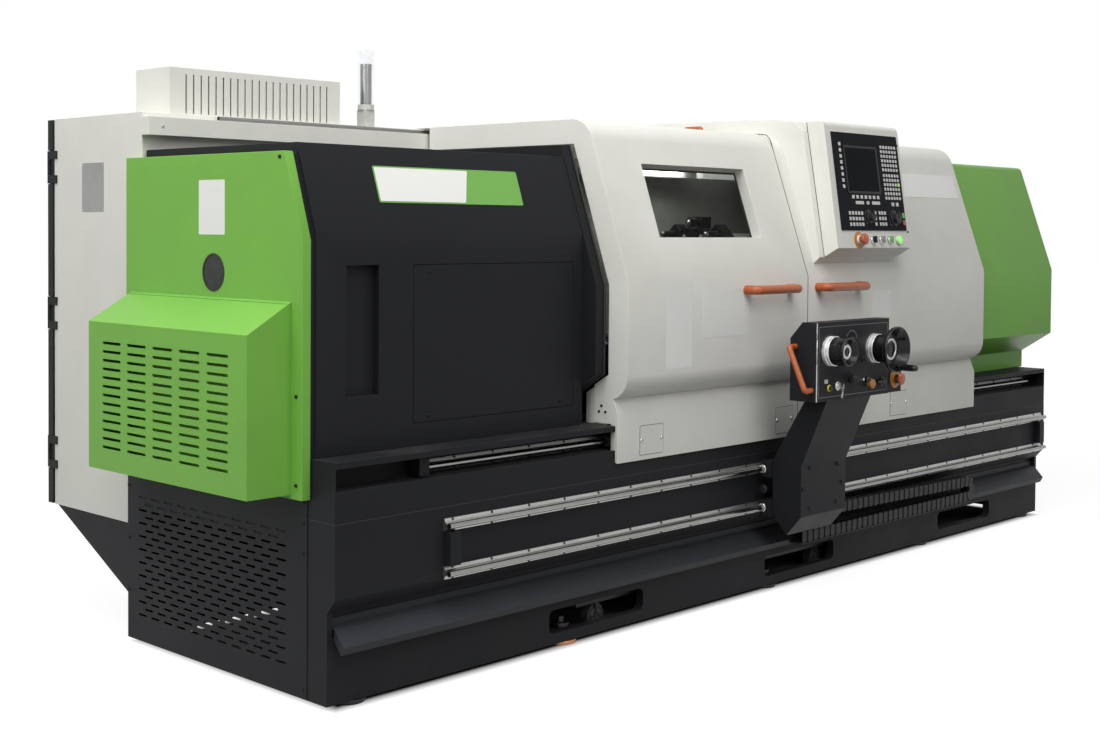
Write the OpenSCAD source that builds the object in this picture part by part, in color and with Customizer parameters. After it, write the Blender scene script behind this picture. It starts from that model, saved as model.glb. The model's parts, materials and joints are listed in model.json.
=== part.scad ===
// Engine lathe with an enclosed working area, two sliding doors, a swung-out
// control pod and a travelling hand console. Millimetres, +Z up, +X along the
// bed from the headstock to the tailstock, the operator stands on the -Y side.
// Heights are counted from the underside of the base; in_frame() then moves
// the whole machine so that its origin is the middle of its footprint, on the
// floor under the levelling feet.

/* [Base and bed] */
// Length of the base and bed
bed_l = 3900; // [3850:10:4100]
// Depth of the base from front to back
base_d = 951; // [945:1:1000]
// Wall thickness of the base
base_wall = 30; // [20:1:36]
// Height of the step under the overhanging upper part
step_z = 277; // [270:1:284]
// How far the upper part overhangs the plinth
step_over = 32; // [26:1:34]
// Height of the joint between base and bed casting
seam_z = 471; // [462:1:478]
// Height of the ledge along the top of the bed
ledge_z = 628; // [624:1:628]
// Height of the bed ways
ways_z = 845; // [835:1:855]
// Width over the bed ways
ways_w = 400; // [380:5:420]
// Width of one bed way
way_w = 80; // [70:1:90]
// Height of the guide channel for the doors
channel_h = 58; // [54:1:60]
// Depth of the guide channel for the doors
channel_depth = 70; // [68:1:76]
// Width of each opening in the plinth
opening_w = 425; // [380:5:440]
// Height of each opening in the plinth
opening_h = 70; // [60:1:76]
// Underside of the plinth openings
opening_z = 32; // [32:1:36]
// Diameter of a levelling foot
foot_d = 100; // [80:2:108]
// Thickness of a levelling foot
foot_t = 12; // [8:1:16]

/* [Rails] */
// Diameter of the supported guide shafts
shaft_d = 16; // [12:1:20]
// Distance from a rail's foot to its shaft's axis
shaft_rise = 25; // [22:1:26]
// Width of a rail's foot
rail_w = 35; // [32:1:38]
// Height of the upper console rail
rail_hi_z = 422; // [416:1:426]
// Height of the lower console rail
rail_lo_z = 292; // [291:1:298]
// Where the console rails start
rail_x0 = 368; // [340:2:380]
// How far the console rails stop short of the bed's end
rail_end = 42; // [36:1:60]

/* [Headstock] */
// Distance of the spindle axis behind the plinth's front
spindle_y = 464; // [455:1:472]
// Height of the spindle axis
spindle_z = 1098; // [1094:1:1102]
// Diameter of the spindle's through bore
spindle_bore_d = 80; // [60:1:86]
// Outer diameter of the spindle
spindle_d = 130; // [120:1:140]
// Diameter of the chuck
chuck_d = 315; // [280:5:330]
// Length of the chuck body
chuck_l = 110; // [95:1:115]
// Width of a chuck jaw
jaw_w = 36; // [30:1:42]
// Radial running clearance of shafts in their bores
run_gap = 0.05; // [0.02:0.01:0.09]
// Clearance between sliding faces
slide_gap = 0.3; // [0.2:0.05:0.5]

/* [Covers] */
// Thickness of the sheet-metal covers
sheet = 3; // [2:0.5:4]
// Where the headstock cover starts
cover_x0 = 11; // [9:1:16]
// Where the headstock cover ends
cover_x1 = 1016; // [1010:1:1022]
// Distance of the headstock cover's front behind the plinth's front
cover_y = 62; // [60:1:70]
// Height of the fold in the headstock cover
cover_fold_z = 1211; // [1195:1:1212]
// Height of the headstock cover
cover_top_z = 1444; // [1430:1:1446]
// How far the vent box sticks out past the end cover
vent_out = 137; // [120:1:150]
// Length of the slots in the vent box
vent_slot_l = 96; // [80:1:104]

/* [Doors] */
// Where the left door starts
door_x0 = 1067; // [1065:1:1075]
// Where the two doors meet
door_joint = 2012; // [2005:1:2020]
// Where the right door ends
door_x1 = 3257; // [3240:1:3270]
// Front face of the doors, in front of the plinth
door_out = 79; // [78:1:84]
// Height of the fold where the doors start to slope back
door_fold_z = 1066; // [1050:1:1080]
// Height of the door roofs
roof_z = 1563; // [1561:1:1570]
// Radius of the bend between slope and roof
roof_r = 89; // [60:1:100]
// Width of the seal flange at the left end of the left door
flange_w = 77; // [60:1:77]
// Width of the window
window_w = 533; // [480:1:560]
// Height of the window along the slope
window_h = 244; // [200:1:250]
// Depth of the window reveal
window_deep = 40; // [30:1:42]
// Length of a door handle
handle_l = 280; // [220:2:290]
// Diameter of the door handles
handle_d = 30; // [24:1:34]

/* [Control pod] */
// Width of the control pod
pod_w = 482; // [470:1:500]
// Width of the black operating panel
panel_w = 427; // [410:1:440]
// Thickness of the operating panel
panel_t = 4; // [3:0.5:6]
// Diameter of an emergency stop mushroom
estop_d = 40; // [34:1:44]

/* [Hand console] */
// Width of the hand console
console_w = 440; // [430:1:460]
// Height of the hand console
console_h = 257; // [250:1:262]
// Depth of the hand console
console_t = 100; // [90:1:110]
// Width of the console's arm
arm_w = 265; // [240:1:280]
// Diameter of the graduated collars of the handwheels
collar_d = 97; // [86:1:104]

/* [Electrical cabinet] */
// Length of the electrical cabinet
cabinet_l = 1200; // [1100:10:1200]
// Distance of the cabinet's back behind the plinth's front
cabinet_back = 1390; // [1360:1:1410]
// Height of the cabinet's top
cabinet_top_z = 1555; // [1550:1:1557]
// Height of the cabinet's underside
cabinet_z = 340; // [320:1:360]
// Thickness of the cabinet's rear doors
cabinet_door_t = 33; // [24:1:40]

/* [Hidden] */
$fn = 48;

seat = 0.3;                      // how close pieces of different bodies lie
bed_front = -step_over;          // front plane of the overhanging upper part
ways_y = spindle_y - ways_w / 2; // front edge of the bed ways
way_x0 = cover_x1 + 44;          // where the bed ways start
way_x1 = bed_l - 40;             // where they end
opening_x = [818, 1886, 3055];   // left ends of the three plinth openings
// centres of the levelling feet: one row along the front, one along the back
feet = concat([for (x = [100, 910, 1930, 2950, bed_l - 100]) [x, 45]],
              [for (x = [100, 860, 2540, bed_l - 100]) [x, base_d - 45]]);
nut_d = 56;                      // nuts on the studs of the feet
tray_back = 18;                  // wall that the drip tray is fixed to
overhang_z = step_z - 37;        // foot of the overhang's slope, over the tray's recess
channel_z = 611 - channel_h;     // underside of the guide channel
lip_z = 611;                     // underside of the lip over the channel
door_rail_z = channel_z + 23;    // height of the doors' guide shaft
door_rail_y = bed_front + channel_depth - shaft_rise; // its axis
door_rail_x0 = 338;              // where the doors' guide rail starts
door_rail_x1 = bed_l - 80;
tail_cover_x0 = door_x1 - 107;   // left end of the tail cover, behind the right door
tail_end = bed_l + 25;           // its right end
console_rail_y = bed_front - shaft_rise; // axis of the console rails

// ---------------------------------------------------------------- helpers

// Moves the machine from its own measures into its stored frame
console_y = -306;                // front face of the hand console
wheel_out = 98;                  // how far the right handwheel stands out of it
grip_out = 158;                  // how far its crank grip does
machine_x = [-30 - vent_out, tail_end];
machine_y = [console_y - seat - grip_out, cabinet_back + cabinet_door_t + 20];
module in_frame()
    translate([-(machine_x[0] + machine_x[1]) / 2,
               -(machine_y[0] + machine_y[1]) / 2, foot_t])
        children();

// A profile drawn in (Y, Z), run along X
module along_x(x0, x1)
    translate([x0, 0, 0]) rotate([90, 0, 90]) linear_extrude(x1 - x0) children();

// A profile drawn in (X, Z), run from y0 back to y1
module along_y(y0, y1)
    translate([0, y1, 0]) rotate([90, 0, 0]) linear_extrude(y1 - y0) children();

// A box given by two corners
module block(low, high) translate(low) cube(high - low);

// A round bar along X, Y or Z
module bar_x(d, x0, x1) translate([x0, 0, 0]) rotate([0, 90, 0]) cylinder(d = d, h = x1 - x0);
module bar_y(d, y0, y1) translate([0, y1, 0]) rotate([90, 0, 0]) cylinder(d = d, h = y1 - y0);

// A revolve about an axis along X; points are (radius, x)
module turned_x(points) rotate([0, 90, 0]) rotate_extrude() polygon(points);
// A revolve about an axis along -Y; points are (radius, distance out)
module turned_out(points) rotate([90, 0, 0]) rotate_extrude() polygon(points);

function unit(v) = v / norm(v);
function left_of(v) = [-v[1], v[0]];
function arc(c, r, a0, a1, n = 8) =
    [for (i = [0:n]) let (a = a0 + (a1 - a0) * i / n) c + r * [cos(a), sin(a)]];
function backwards(p) = [for (i = [len(p) - 1:-1:0]) p[i]];

// The bend of radius r at b, on the way from a to c
function bend(a, b, c, r, n = 6) =
    let (u = unit(a - b), v = unit(c - b), half = acos(u * v) / 2,
         o = b + unit(u + v) * r / sin(half), s = b + u * r / tan(half),
         e = b + v * r / tan(half), a0 = atan2(s[1] - o[1], s[0] - o[0]),
         a1 = atan2(e[1] - o[1], e[0] - o[0]), turn = a1 - a0,
         sweep = turn > 180 ? turn - 360 : turn < -180 ? turn + 360 : turn)
    arc(o, r, a0, a0 + sweep, n);

// A path moved sideways by t, to its left
function beside(p, t) = [for (i = [0:len(p) - 1])
    let (a = i == 0 ? undef : left_of(unit(p[i] - p[i - 1])),
         b = i == len(p) - 1 ? undef : left_of(unit(p[i + 1] - p[i])))
    i == 0 ? p[i] + t * b : i == len(p) - 1 ? p[i] + t * a
           : p[i] + t * (a + b) / (1 + a * b)];
// A sheet of thickness t folded along a path
function folded(p, t) = concat(p, backwards(beside(p, t)));
// A closed outline moved inwards by t (drawn so that its left is inside)
function inset(p, t) = [for (i = [0:len(p) - 1])
    let (n = len(p), a = left_of(unit(p[i] - p[(i + n - 1) % n])),
         b = left_of(unit(p[(i + 1) % n] - p[i])))
    p[i] + t * (a + b) / (1 + a * b)];

// A closed sheet box with the outline p, drawn counter-clockwise in (Y, Z)
module sheet_box(p, x0, x1, t = sheet)
    difference() {
        along_x(x0, x1) polygon(p);
        along_x(x0 + t, x1 - t) polygon(inset(p, t));
    }

// A rectangle with round corners, low corner at the origin
module round_rect(w, h, r)
    union() {
        translate([r, 0]) square([w - 2 * r, h]);
        translate([0, r]) square([w, h - 2 * r]);
        for (x = [r, w - r], y = [r, h - r]) translate([x, y]) circle(r);
    }

// A slot with round ends, from its left end at the origin
module slot(l, h)
    union() {
        translate([h / 2, 0]) square([l - h, h]);
        for (x = [h / 2, l - h / 2]) translate([x, h / 2]) circle(d = h, $fn = 16);
    }

// Profile of a supported guide shaft in (out, up), foot at out = 0
module rail_profile()
    union() {
        polygon([[0, -rail_w / 2], [5, -rail_w / 2], [8, -9], [15, -4],
                 [shaft_rise, -4], [shaft_rise, 4], [15, 4], [8, 9],
                 [5, rail_w / 2], [0, rail_w / 2]]);
        translate([shaft_rise, 0]) circle(d = shaft_d, $fn = 32);
    }

// ------------------------------------------------------------- base and bed

module base_frame() in_frame() color([0.13, 0.14, 0.16])
    difference() {
        union() {
            difference() {
                along_x(0, bed_l)
                    polygon([[0, 0], [base_d, 0], [base_d, seam_z], [bed_front, seam_z],
                             [bed_front, step_z], [0, overhang_z]]);
                block([base_wall, base_wall, -1],
                      [bed_l - base_wall, base_d - base_wall, seam_z - 60]);
            }
            for (p = feet)
                block([p[0] - 50, p[1] - 45, 0], [p[0] + 50, p[1] + 45, opening_z]);
        }
        // recess that takes the drip tray
        block([18, bed_front - 1, 176], [bed_l - 18, tray_back, overhang_z]);
        // plinth openings
        for (x = opening_x)
            translate([x, 0, opening_z]) along_y(-1, base_wall + 1)
                round_rect(opening_w, opening_h, 20);
        // the coolant tank comes out at the back, guided by the opening's sides
        block([tank_x[0] - slide_gap, base_d - base_wall - 1, -1],
              [tank_x[1] + slide_gap, base_d + 1, 205]);
        // openings in the two ends
        block([-1, 110, 40], [base_wall + 1, base_d - 30, seam_z - 70]);
        block([bed_l - base_wall - 1, 250, 30], [bed_l + 1, base_d - 80, 125]);
        // holes for the studs of the feet, pockets for their nuts
        for (p = feet)
            translate([p[0], p[1], -1]) {
                cylinder(d = 25, h = opening_z + 2);
                translate([0, 0, opening_z + 1]) cylinder(d = nut_d + 6, h = 40);
            }
    }

slot_l = 43;
slot_pitch = (base_d - 275) / 10;
row_pitch = 19.33;
module end_grille() in_frame() color([0.13, 0.14, 0.16])
    along_x(-2, 0)
        difference() {
            translate([81, 1]) square([base_d - 82, 520]);
            for (row = [0:18], col = [0:(row % 2 == 0 ? 10 : 9)])
                translate([171 + slot_pitch * (col + (row % 2) / 2),
                           79 + row_pitch * row - 3])
                    slot(slot_l, 6);
        }

module bed_casting() in_frame() color([0.13, 0.14, 0.16])
    difference() {
        union() {
            block([0, bed_front, seam_z], [bed_l, base_d, ledge_z]);
            along_x(way_x0, way_x1)
                polygon([[ways_y, ledge_z], [ways_y + ways_w, ledge_z],
                         [ways_y + ways_w, ways_z], [ways_y + way_w * 0.7, ways_z],
                         [ways_y + way_w / 2, ways_z + 14], [ways_y + way_w * 0.3, ways_z],
                         [ways_y, ways_z]]);
        }
        // trough between the ways, with ribs left standing
        for (x = [way_x0 + 40:560:way_x1 - 400])
            block([x, ways_y + way_w, seam_z + 50],
                  [min(x + 500, way_x1 - 40), ways_y + ways_w - way_w, ways_z + 20]);
        // guide channel for the doors
        block([3, bed_front - 1, channel_z],
              [bed_l - 3, bed_front + channel_depth, lip_z]);
    }

chain_y = [-84, -44];            // drag chain: front and back
chain_h = 40;                    // height of its run
chain_x = [1990, 3145];          // its fixed end and the middle of its bend
chain_lo_z = 146;                // underside of the lower run
chain_r = 50;                    // outer radius of the bend
// Drip tray: flange, ledge, sloping top and the lip folded back under it
tray_path = [[tray_back - 4, 222], [tray_back - 4, 204], [-6, 195], [-43, 155], [-31, 134]];
module drip_tray() in_frame() color([0.19, 0.2, 0.22])
    union() {
        along_x(22, bed_l - 20) polygon(folded(tray_path, 4));
        for (x = [22, bed_l - 24])
            along_x(x, x + 4)
                polygon([[-28, 137], [-seat, 166], [-seat, 190], [-7, 191], [-39, 155]]);
        // shelf under the lower run of the drag chain
        block([chain_x[0] - 10, chain_y[0], chain_lo_z - 4 - seat],
              [chain_x[1], -33, chain_lo_z - seat]);
    }

module levelling_feet() in_frame() color([0.72, 0.42, 0.26])
    for (p = feet)
        translate([p[0], p[1], -foot_t]) {
            cylinder(d = foot_d, h = foot_t);
            cylinder(d = 24, h = foot_t + opening_z + 34);
            translate([0, 0, foot_t + opening_z]) cylinder(d = nut_d, h = 16);
        }

module door_rail() in_frame() color([0.72, 0.73, 0.74])
    translate([0, bed_front + channel_depth, door_rail_z])
        mirror([0, 1, 0]) along_x(door_rail_x0, door_rail_x1) rail_profile();

module console_rails() in_frame() color([0.72, 0.73, 0.74])
    for (z = [rail_lo_z, rail_hi_z])
        translate([0, bed_front, z])
            mirror([0, 1, 0]) along_x(rail_x0, bed_l - rail_end) rail_profile();

module rail_stops() in_frame() color([0.1, 0.1, 0.11]) {
    for (x = [rail_x0 + 4, bed_l - rail_end - 44])
        block([x, bed_front - 26, rail_lo_z + 20], [x + 40, bed_front, rail_hi_z - 20]);
    block([door_rail_x0 - 38, bed_front + 20, channel_z + 4],
          [door_rail_x0 - 2, bed_front + channel_depth, lip_z - 4]);
}

// ---------------------------------------------------------------- headstock

entry_d = 93;                    // hole through which bar stock is fed
head_x0 = 130;
head_x1 = cover_x1 - 6;
module headstock_casting() in_frame() color([0.45, 0.47, 0.48])
    difference() {
        along_x(head_x0, head_x1)
            polygon([[ways_y - 14, ledge_z], [ways_y + ways_w + 14, ledge_z],
                     [ways_y + ways_w + 14, 1180], [ways_y + ways_w - 60, 1320],
                     [ways_y + 60, 1320], [ways_y - 14, 1180]]);
        // hollow foot
        block([head_x0 + 60, ways_y + 40, ledge_z - 1],
              [head_x1 - 60, ways_y + ways_w - 40, spindle_z - spindle_d / 2 - 60]);
        translate([0, spindle_y, spindle_z])
            bar_x(spindle_d + 2 * run_gap, head_x0 - 1, head_x1 + 1);
    }

cover_slope = [82, cover_top_z - cover_fold_z]; // run back and rise of the slope
recess_x = [109, 219];
recess_z = [777, 1124];
panel_x = [342, 977];
panel_z = [691, 1122];
cover_back = 870;                // rear face of the headstock cover
function cover_path() =
    [[cover_back, ledge_z], [cover_back, cover_top_z],
     [cover_y + cover_slope[0], cover_top_z], [cover_y, cover_fold_z],
     [cover_y, ledge_z]];

module headstock_cover() in_frame() color([0.13, 0.14, 0.16])
    difference() {
        union() {
            along_x(cover_x0, cover_x1) polygon(folded(cover_path(), sheet));
            // closed end towards the end cover, and the seat of that cover
            along_x(cover_x0, cover_x0 + sheet) polygon(backwards(cover_path()));
            difference() {
                along_x(-3, cover_x0)
                    difference() {
                        polygon(inset(end_cover_outline(), 3));
                        polygon(inset(end_cover_outline(), 18));
                    }
                block([0, 0, 500], [cover_x0 + 1, base_d, ledge_z]);
                block([0, cover_back, 500], [cover_x0 + 1, base_d, cover_top_z]);
            }
            // ledge behind the access panel
            block([panel_x[0] - 12, cover_y + sheet, panel_z[0] - 12],
                  [panel_x[1] + 12, cover_y + 2 * sheet, panel_z[1] + 12]);
            // pocket
            block([recess_x[0] - sheet, cover_y + sheet, recess_z[0] - sheet],
                  [recess_x[1] + sheet, cover_y + 28, recess_z[1] + sheet]);
        }
        block([recess_x[0], cover_y - 1, recess_z[0]],
              [recess_x[1], cover_y + 28 - sheet, recess_z[1]]);
        block([panel_x[0] - 1.5, cover_y - 1, panel_z[0] - 1.5],
              [panel_x[1] + 1.5, cover_y + sheet, panel_z[1] + 1.5]);
        block([panel_x[0] + 12, cover_y, panel_z[0] + 12],
              [panel_x[1] - 12, cover_y + 3 * sheet, panel_z[1] - 12]);
        translate([0, spindle_y, spindle_z]) bar_x(entry_d, cover_x0 - 1, cover_x0 + sheet + 1);
    }

module access_panel() in_frame() color([0.13, 0.14, 0.16])
    block([panel_x[0], cover_y, panel_z[0]],
          [panel_x[1], cover_y + sheet, panel_z[1]]);

// Outline of the end cover in (Y, Z), counter-clockwise
function end_cover_outline() =
    [[66, 523], [913, 523], [913, 1420], [144, 1420], [66, 1190]];
module end_cover() in_frame() color([0.36, 0.66, 0.22])
    difference() {
        along_x(-30, -3) polygon(end_cover_outline());
        along_x(-30 + sheet, -2) polygon(inset(end_cover_outline(), sheet));
        translate([0, spindle_y, spindle_z]) bar_x(entry_d, -31, 0);
    }

vent_y = [112, 884];
module vent_outline(t = 0)
    polygon([[-30 - vent_out + t, 534 + t], [-30, 534 + t], [-30, 1031 - t],
             [-30 - vent_out + t, 951 - t * 0.6]]);
module vent_box() in_frame() color([0.36, 0.66, 0.22])
    difference() {
        along_y(vent_y[0], vent_y[1]) vent_outline();
        along_y(vent_y[0] + sheet, vent_y[1] - sheet)
            union() {
                vent_outline(sheet);
                translate([-40, 537]) square([20, 489]);
            }
        along_x(-31 - vent_out, -29 - vent_out + sheet)
            for (col = [0:4], row = [0:12])
                translate([194 + col * 129.5, 595 + row * 24.5])
                    slot(vent_slot_l, 8);
    }

// ------------------------------------------------------- doors and enclosure

slope_k = 0.3478;                            // the slope's run over its rise
door_y = -door_out;
skirt_y = bed_front - 10;                    // front face of the door skirts
belly_r = 75;
belly_c = [door_y + belly_r, 781];
roof_back = 896;
// Outer path of the doors in (Y, Z), from the skirt over the roof
function door_path(back = roof_back) = concat(
    [[skirt_y, 514], [skirt_y, 658]],
    backwards(arc(belly_c, belly_r, 180, 256)),
    [[door_y, door_fold_z]],
    bend([door_y, door_fold_z],
         [door_y + slope_k * (roof_z - door_fold_z), roof_z],
         [back, roof_z], roof_r),
    [[back, roof_z]]);
// The same as a closed outline that reaches back to the rear guide
function door_outline() = concat(backwards(door_path()), [[roof_back, 514]]);

// Seal frame inside a door end: door_outline moved in by w, cut off below
function door_inner(w) =
    [[door_y + w, 781], [door_y + w, door_fold_z - 0.16 * w],
     [door_y + slope_k * (roof_z - w - door_fold_z) + 1.06 * w, roof_z - w],
     [roof_back + 1, roof_z - w], [roof_back + 1, 500],
     [door_y + w + 94, 500], [door_y + w + 94, 726]];

// Room for the top of the bed and for the rear guide beam, in (Y, Z)
module ledge_clearance() translate([skirt_y + 5, 500]) square([400, ledge_z + 4 - 500]);
module beam_clearance()
    translate([beam_y[0] - 12, 700]) square([roof_back - beam_y[0] + 20, roof_z - sheet - 700]);

module door_flange(x0, x1, w)
    along_x(x0, x1)
        difference() {
            polygon(door_outline());
            polygon(door_inner(w));
            translate([54, 400]) square([1000, 352]);
            ledge_clearance();
            beam_clearance();
        }

module door_hem(x0, x1, w)
    along_x(x0, x1)
        difference() {
            polygon(folded(door_path(), -w));
            ledge_clearance();
            beam_clearance();
        }

// Bearing block round a guide shaft; the shaft's axis is at the origin
module door_block(x)
    difference() {
        block([x, skirt_y + sheet, door_rail_z - 16],
              [x + 60, door_rail_y + 9, door_rail_z + 16]);
        translate([0, door_rail_y, door_rail_z])
            bar_x(shaft_d + 2 * run_gap, x - 1, x + 61);
        block([x - 1, door_rail_y, door_rail_z - 6],
              [x + 61, door_rail_y + 10, door_rail_z + 6]);
    }

module door_shell(x0, x1)
    union() {
        along_x(x0, x1) polygon(folded(door_path(), -sheet));
        // shoes on the rear guide rail
        for (x = [x0 + 20, x1 - 80])
            block([x, rail_top_y - 12, rail_top_z + seat],
                  [x + 60, rail_top_y + 12, roof_z - sheet]);
    }

// Places children on the sloping face: X along the door, z up the slope,
// -y outwards, origin on the fold
slope_a = atan(slope_k);
module on_slope() translate([0, door_y, door_fold_z]) rotate([-slope_a, 0, 0]) children();

window_x = 1269;
window_v = 141;
module window_cut(grow, y0, y1)
    on_slope() block([window_x - grow, y0, window_v - grow],
                     [window_x + window_w + grow, y1, window_v + window_h + grow]);

module left_door() in_frame() color([0.9, 0.9, 0.88])
    difference() {
        union() {
            door_shell(door_x0, door_joint - 1.5);
            door_flange(door_x0, door_x0 + sheet, flange_w);
            door_hem(door_joint - 1.5 - sheet, door_joint - 1.5, 15);
            for (x = [door_x0 + 8, door_joint - 70]) door_block(x);
            window_cut(sheet, sheet / 2, window_deep);
        }
        window_cut(0, -5, window_deep + 5);
    }

module left_window() in_frame() color([0.75, 0.82, 0.84, 0.35])
    window_cut(15, window_deep, window_deep + 8);

// A bar handle along X, its axis at the height of the origin
module handle(l)
    union() {
        bar_x(handle_d, 6, l - 6);
        for (s = [0, 1])
            translate([s * l, 0, 0]) mirror([s, 0, 0])
                rotate([0, 90, 0]) cylinder(d1 = handle_d - 10, d2 = handle_d, h = 6);
        for (x = [35, l - 35]) translate([x, 0, 0]) bar_y(16, 0, 49);
    }

handle_z = 1028;
module left_handle() in_frame() color([0.85, 0.36, 0.12])
    union() {
        translate([door_joint - 98 - handle_l, door_y - 49, handle_z]) handle(handle_l);
        // small pull on the roof
        translate([1984, 370, roof_z]) {
            for (y = [0, 80]) translate([0, y, 0]) cylinder(d = 10, h = 28);
            translate([0, 0, 28]) bar_y(16, -6, 86);
        }
    }

module right_door() in_frame() color([0.9, 0.9, 0.88])
    union() {
        door_shell(door_joint + 1.5, door_x1);
        door_hem(door_joint + 1.5, door_joint + 1.5 + sheet, 15);
        door_hem(door_x1 - sheet, door_x1, 24);
        for (x = [door_joint + 10, door_x1 - 70]) door_block(x);
    }

module right_handle() in_frame() color([0.85, 0.36, 0.12])
    translate([door_joint + 32, door_y - 49, handle_z]) handle(handle_l);

module end_frame() in_frame() color([0.13, 0.14, 0.16]) {
    w = flange_w + 6;
    p = concat(
        [[door_y + w + 94, ledge_z], [door_y + w + 94, 726], [door_y + w, 785],
         [door_y + w, door_fold_z - 0.16 * w],
         [door_y + slope_k * (roof_z - w - door_fold_z) + 1.06 * w, roof_z - w]],
        [[870, roof_z - w], [870, ledge_z]]);
    difference() {
        along_x(cover_x1, cover_x1 + 44) polygon(backwards(p));
        along_x(cover_x1 + sheet, cover_x1 + 45) polygon(inset(backwards(p), sheet));
        translate([0, spindle_y, spindle_z]) bar_x(230, cover_x1 - 1, cover_x1 + 10);
    }
}

module front_sill() in_frame() color([0.88, 0.88, 0.86])
    sheet_box([[6, ledge_z], [92, ledge_z], [92, 720], [6, 770]],
              door_x0 + sheet + 1.5, tail_cover_x0 - 10);

beam_y = [830, 875];
beam_z = [1487, 1541];
rail_top_y = 855;
rail_top_d = 14;
rail_top_z = beam_z[1] + rail_top_d;
module guide_beam() in_frame() color([0.8, 0.8, 0.79])
    union() {
        difference() {
            block([-6, beam_y[0], beam_z[0]], [bed_l - 70, beam_y[1], beam_z[1]]);
            block([-3, beam_y[0] + 3, beam_z[0] + 3], [bed_l - 73, beam_y[1] - 3, beam_z[1] - 3]);
        }
        translate([0, rail_top_y, beam_z[1] + rail_top_d / 2])
            bar_x(rail_top_d, 248, bed_l - 80);
    }

// Back wall of the working area, with the housing of its lamp
work_lamp_x = [1700, 2500];
module rear_guard() in_frame() color([0.4, 0.41, 0.38])
    union() {
        along_x(cabinet_l + 5, bed_l - 70)
            polygon(folded([[base_d - 41, ledge_z], [beam_y[1], ledge_z],
                            [beam_y[1], beam_z[1]], [base_d - 46, beam_z[1]]], -sheet));
        block([work_lamp_x[0], beam_y[0] - 30, 1430], [work_lamp_x[1], beam_y[0] + 20, 1452]);
        block([work_lamp_x[0], beam_y[0] + 20, 1400], [work_lamp_x[1], beam_y[1], beam_z[0]]);
    }

tail_y = door_y + 24 + 9;        // front plane of the tail cover
tail_foot_y = 87;                // front of its foot, under the lower slope
module tail_cover() in_frame() color([0.36, 0.66, 0.22]) {
    top = roof_z - 57;
    back = beam_y[1] - seat;
    notch = [beam_y[0] - seat, beam_z[0] - seat];
    p = concat([[back, ledge_z], [back, notch[1]], notch, [notch[0], top]],
               bend([notch[0], top], [tail_y + slope_k * (top - 1061), top],
                    [tail_y, 1061], 24),
               [[tail_y, 1061], [tail_y, 785], [tail_foot_y, 700], [tail_foot_y, ledge_z]]);
    difference() {
        along_x(tail_cover_x0, tail_end) polygon(p);
        along_x(tail_cover_x0 - 1, tail_end - sheet)
            union() {
                polygon(inset(p, sheet));
                translate([tail_foot_y + sheet, ledge_z - 1])
                    square([back - tail_foot_y - 2 * sheet, 20]);
            }
    }
}

// ---------------------------------------------------------- electrical cabinet

cab_y0 = beam_y[1] + seat;
cab_y1 = base_d + 4;
cab_t = 4;
module electrical_cabinet() in_frame() color([0.85, 0.85, 0.83]) {
    cabinet_hinges();
    translate([cabinet_l, 0, 0]) mirror([1, 0, 0]) cabinet_hinges();
    difference() {
        along_x(0, cabinet_l)
            polygon([[cab_y0, ledge_z + 12], [cab_y1, ledge_z + 12], [cab_y1, cabinet_z],
                     [cabinet_back, cabinet_z], [cabinet_back, cabinet_top_z],
                     [cab_y0, cabinet_top_z]]);
        along_x(cab_t, cabinet_l - cab_t)
            polygon([[cab_y0 + cab_t, ledge_z + 12 + cab_t],
                     [cab_y1 + cab_t, ledge_z + 12 + cab_t],
                     [cab_y1 + cab_t, cabinet_z + cab_t], [cabinet_back + 1, cabinet_z + cab_t],
                     [cabinet_back + 1, cabinet_top_z - cab_t],
                     [cab_y0 + cab_t, cabinet_top_z - cab_t]]);
    }
}

// Hinges of the rear doors: their heights, their axis at x = 1
hinge_z = [480, 920, 1380];
hinge_d = 14;
module at_hinges()
    for (z = hinge_z) translate([1, cabinet_back + cabinet_door_t, z]) children();
module fixed_knuckles(grow)
    for (z = [-26, 50.5]) translate([0, 0, z - grow]) cylinder(d = hinge_d + 2 * grow, h = 25.5 + 2 * grow);
module cabinet_hinges() {
    at_hinges() fixed_knuckles(0);
    for (z = hinge_z, part = [-26, 50.5])
        block([-5, cabinet_back - 20, z + part],
              [0, cabinet_back + cabinet_door_t, z + part + 25.5]);
}

module cabinet_bracket() in_frame() color([0.13, 0.14, 0.16])
    sheet_box([[base_d, 131], [1372, cabinet_z], [base_d, cabinet_z]], 0, tank_x[0] - 40);

// One leaf of the rear doors, its hinge edge at x = 0
module cabinet_leaf() {
    w = cabinet_l / 2 - 2;
    y0 = cabinet_back + seat;
    difference() {
        block([1, y0, cabinet_z + 2], [w, cabinet_back + cabinet_door_t, cabinet_top_z - 2]);
        block([20, y0 - 1, cabinet_z + 20],
              [w - 18, cabinet_back + cabinet_door_t - 3, cabinet_top_z - 20]);
        at_hinges() fixed_knuckles(0.4);
    }
    at_hinges() cylinder(d = hinge_d, h = 50);
    // swing handle on its plate
    block([w - 70, cabinet_back + cabinet_door_t, 900],
          [w - 40, cabinet_back + cabinet_door_t + 6, 1080]);
    block([w - 65, cabinet_back + cabinet_door_t + 6, 930],
          [w - 45, cabinet_back + cabinet_door_t + 20, 1070]);
}
module cabinet_door_left() in_frame() color([0.2, 0.2, 0.21]) cabinet_leaf();
module cabinet_door_right() in_frame() color([0.2, 0.2, 0.21])
    translate([cabinet_l, 0, 0]) mirror([1, 0, 0]) cabinet_leaf();

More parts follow.
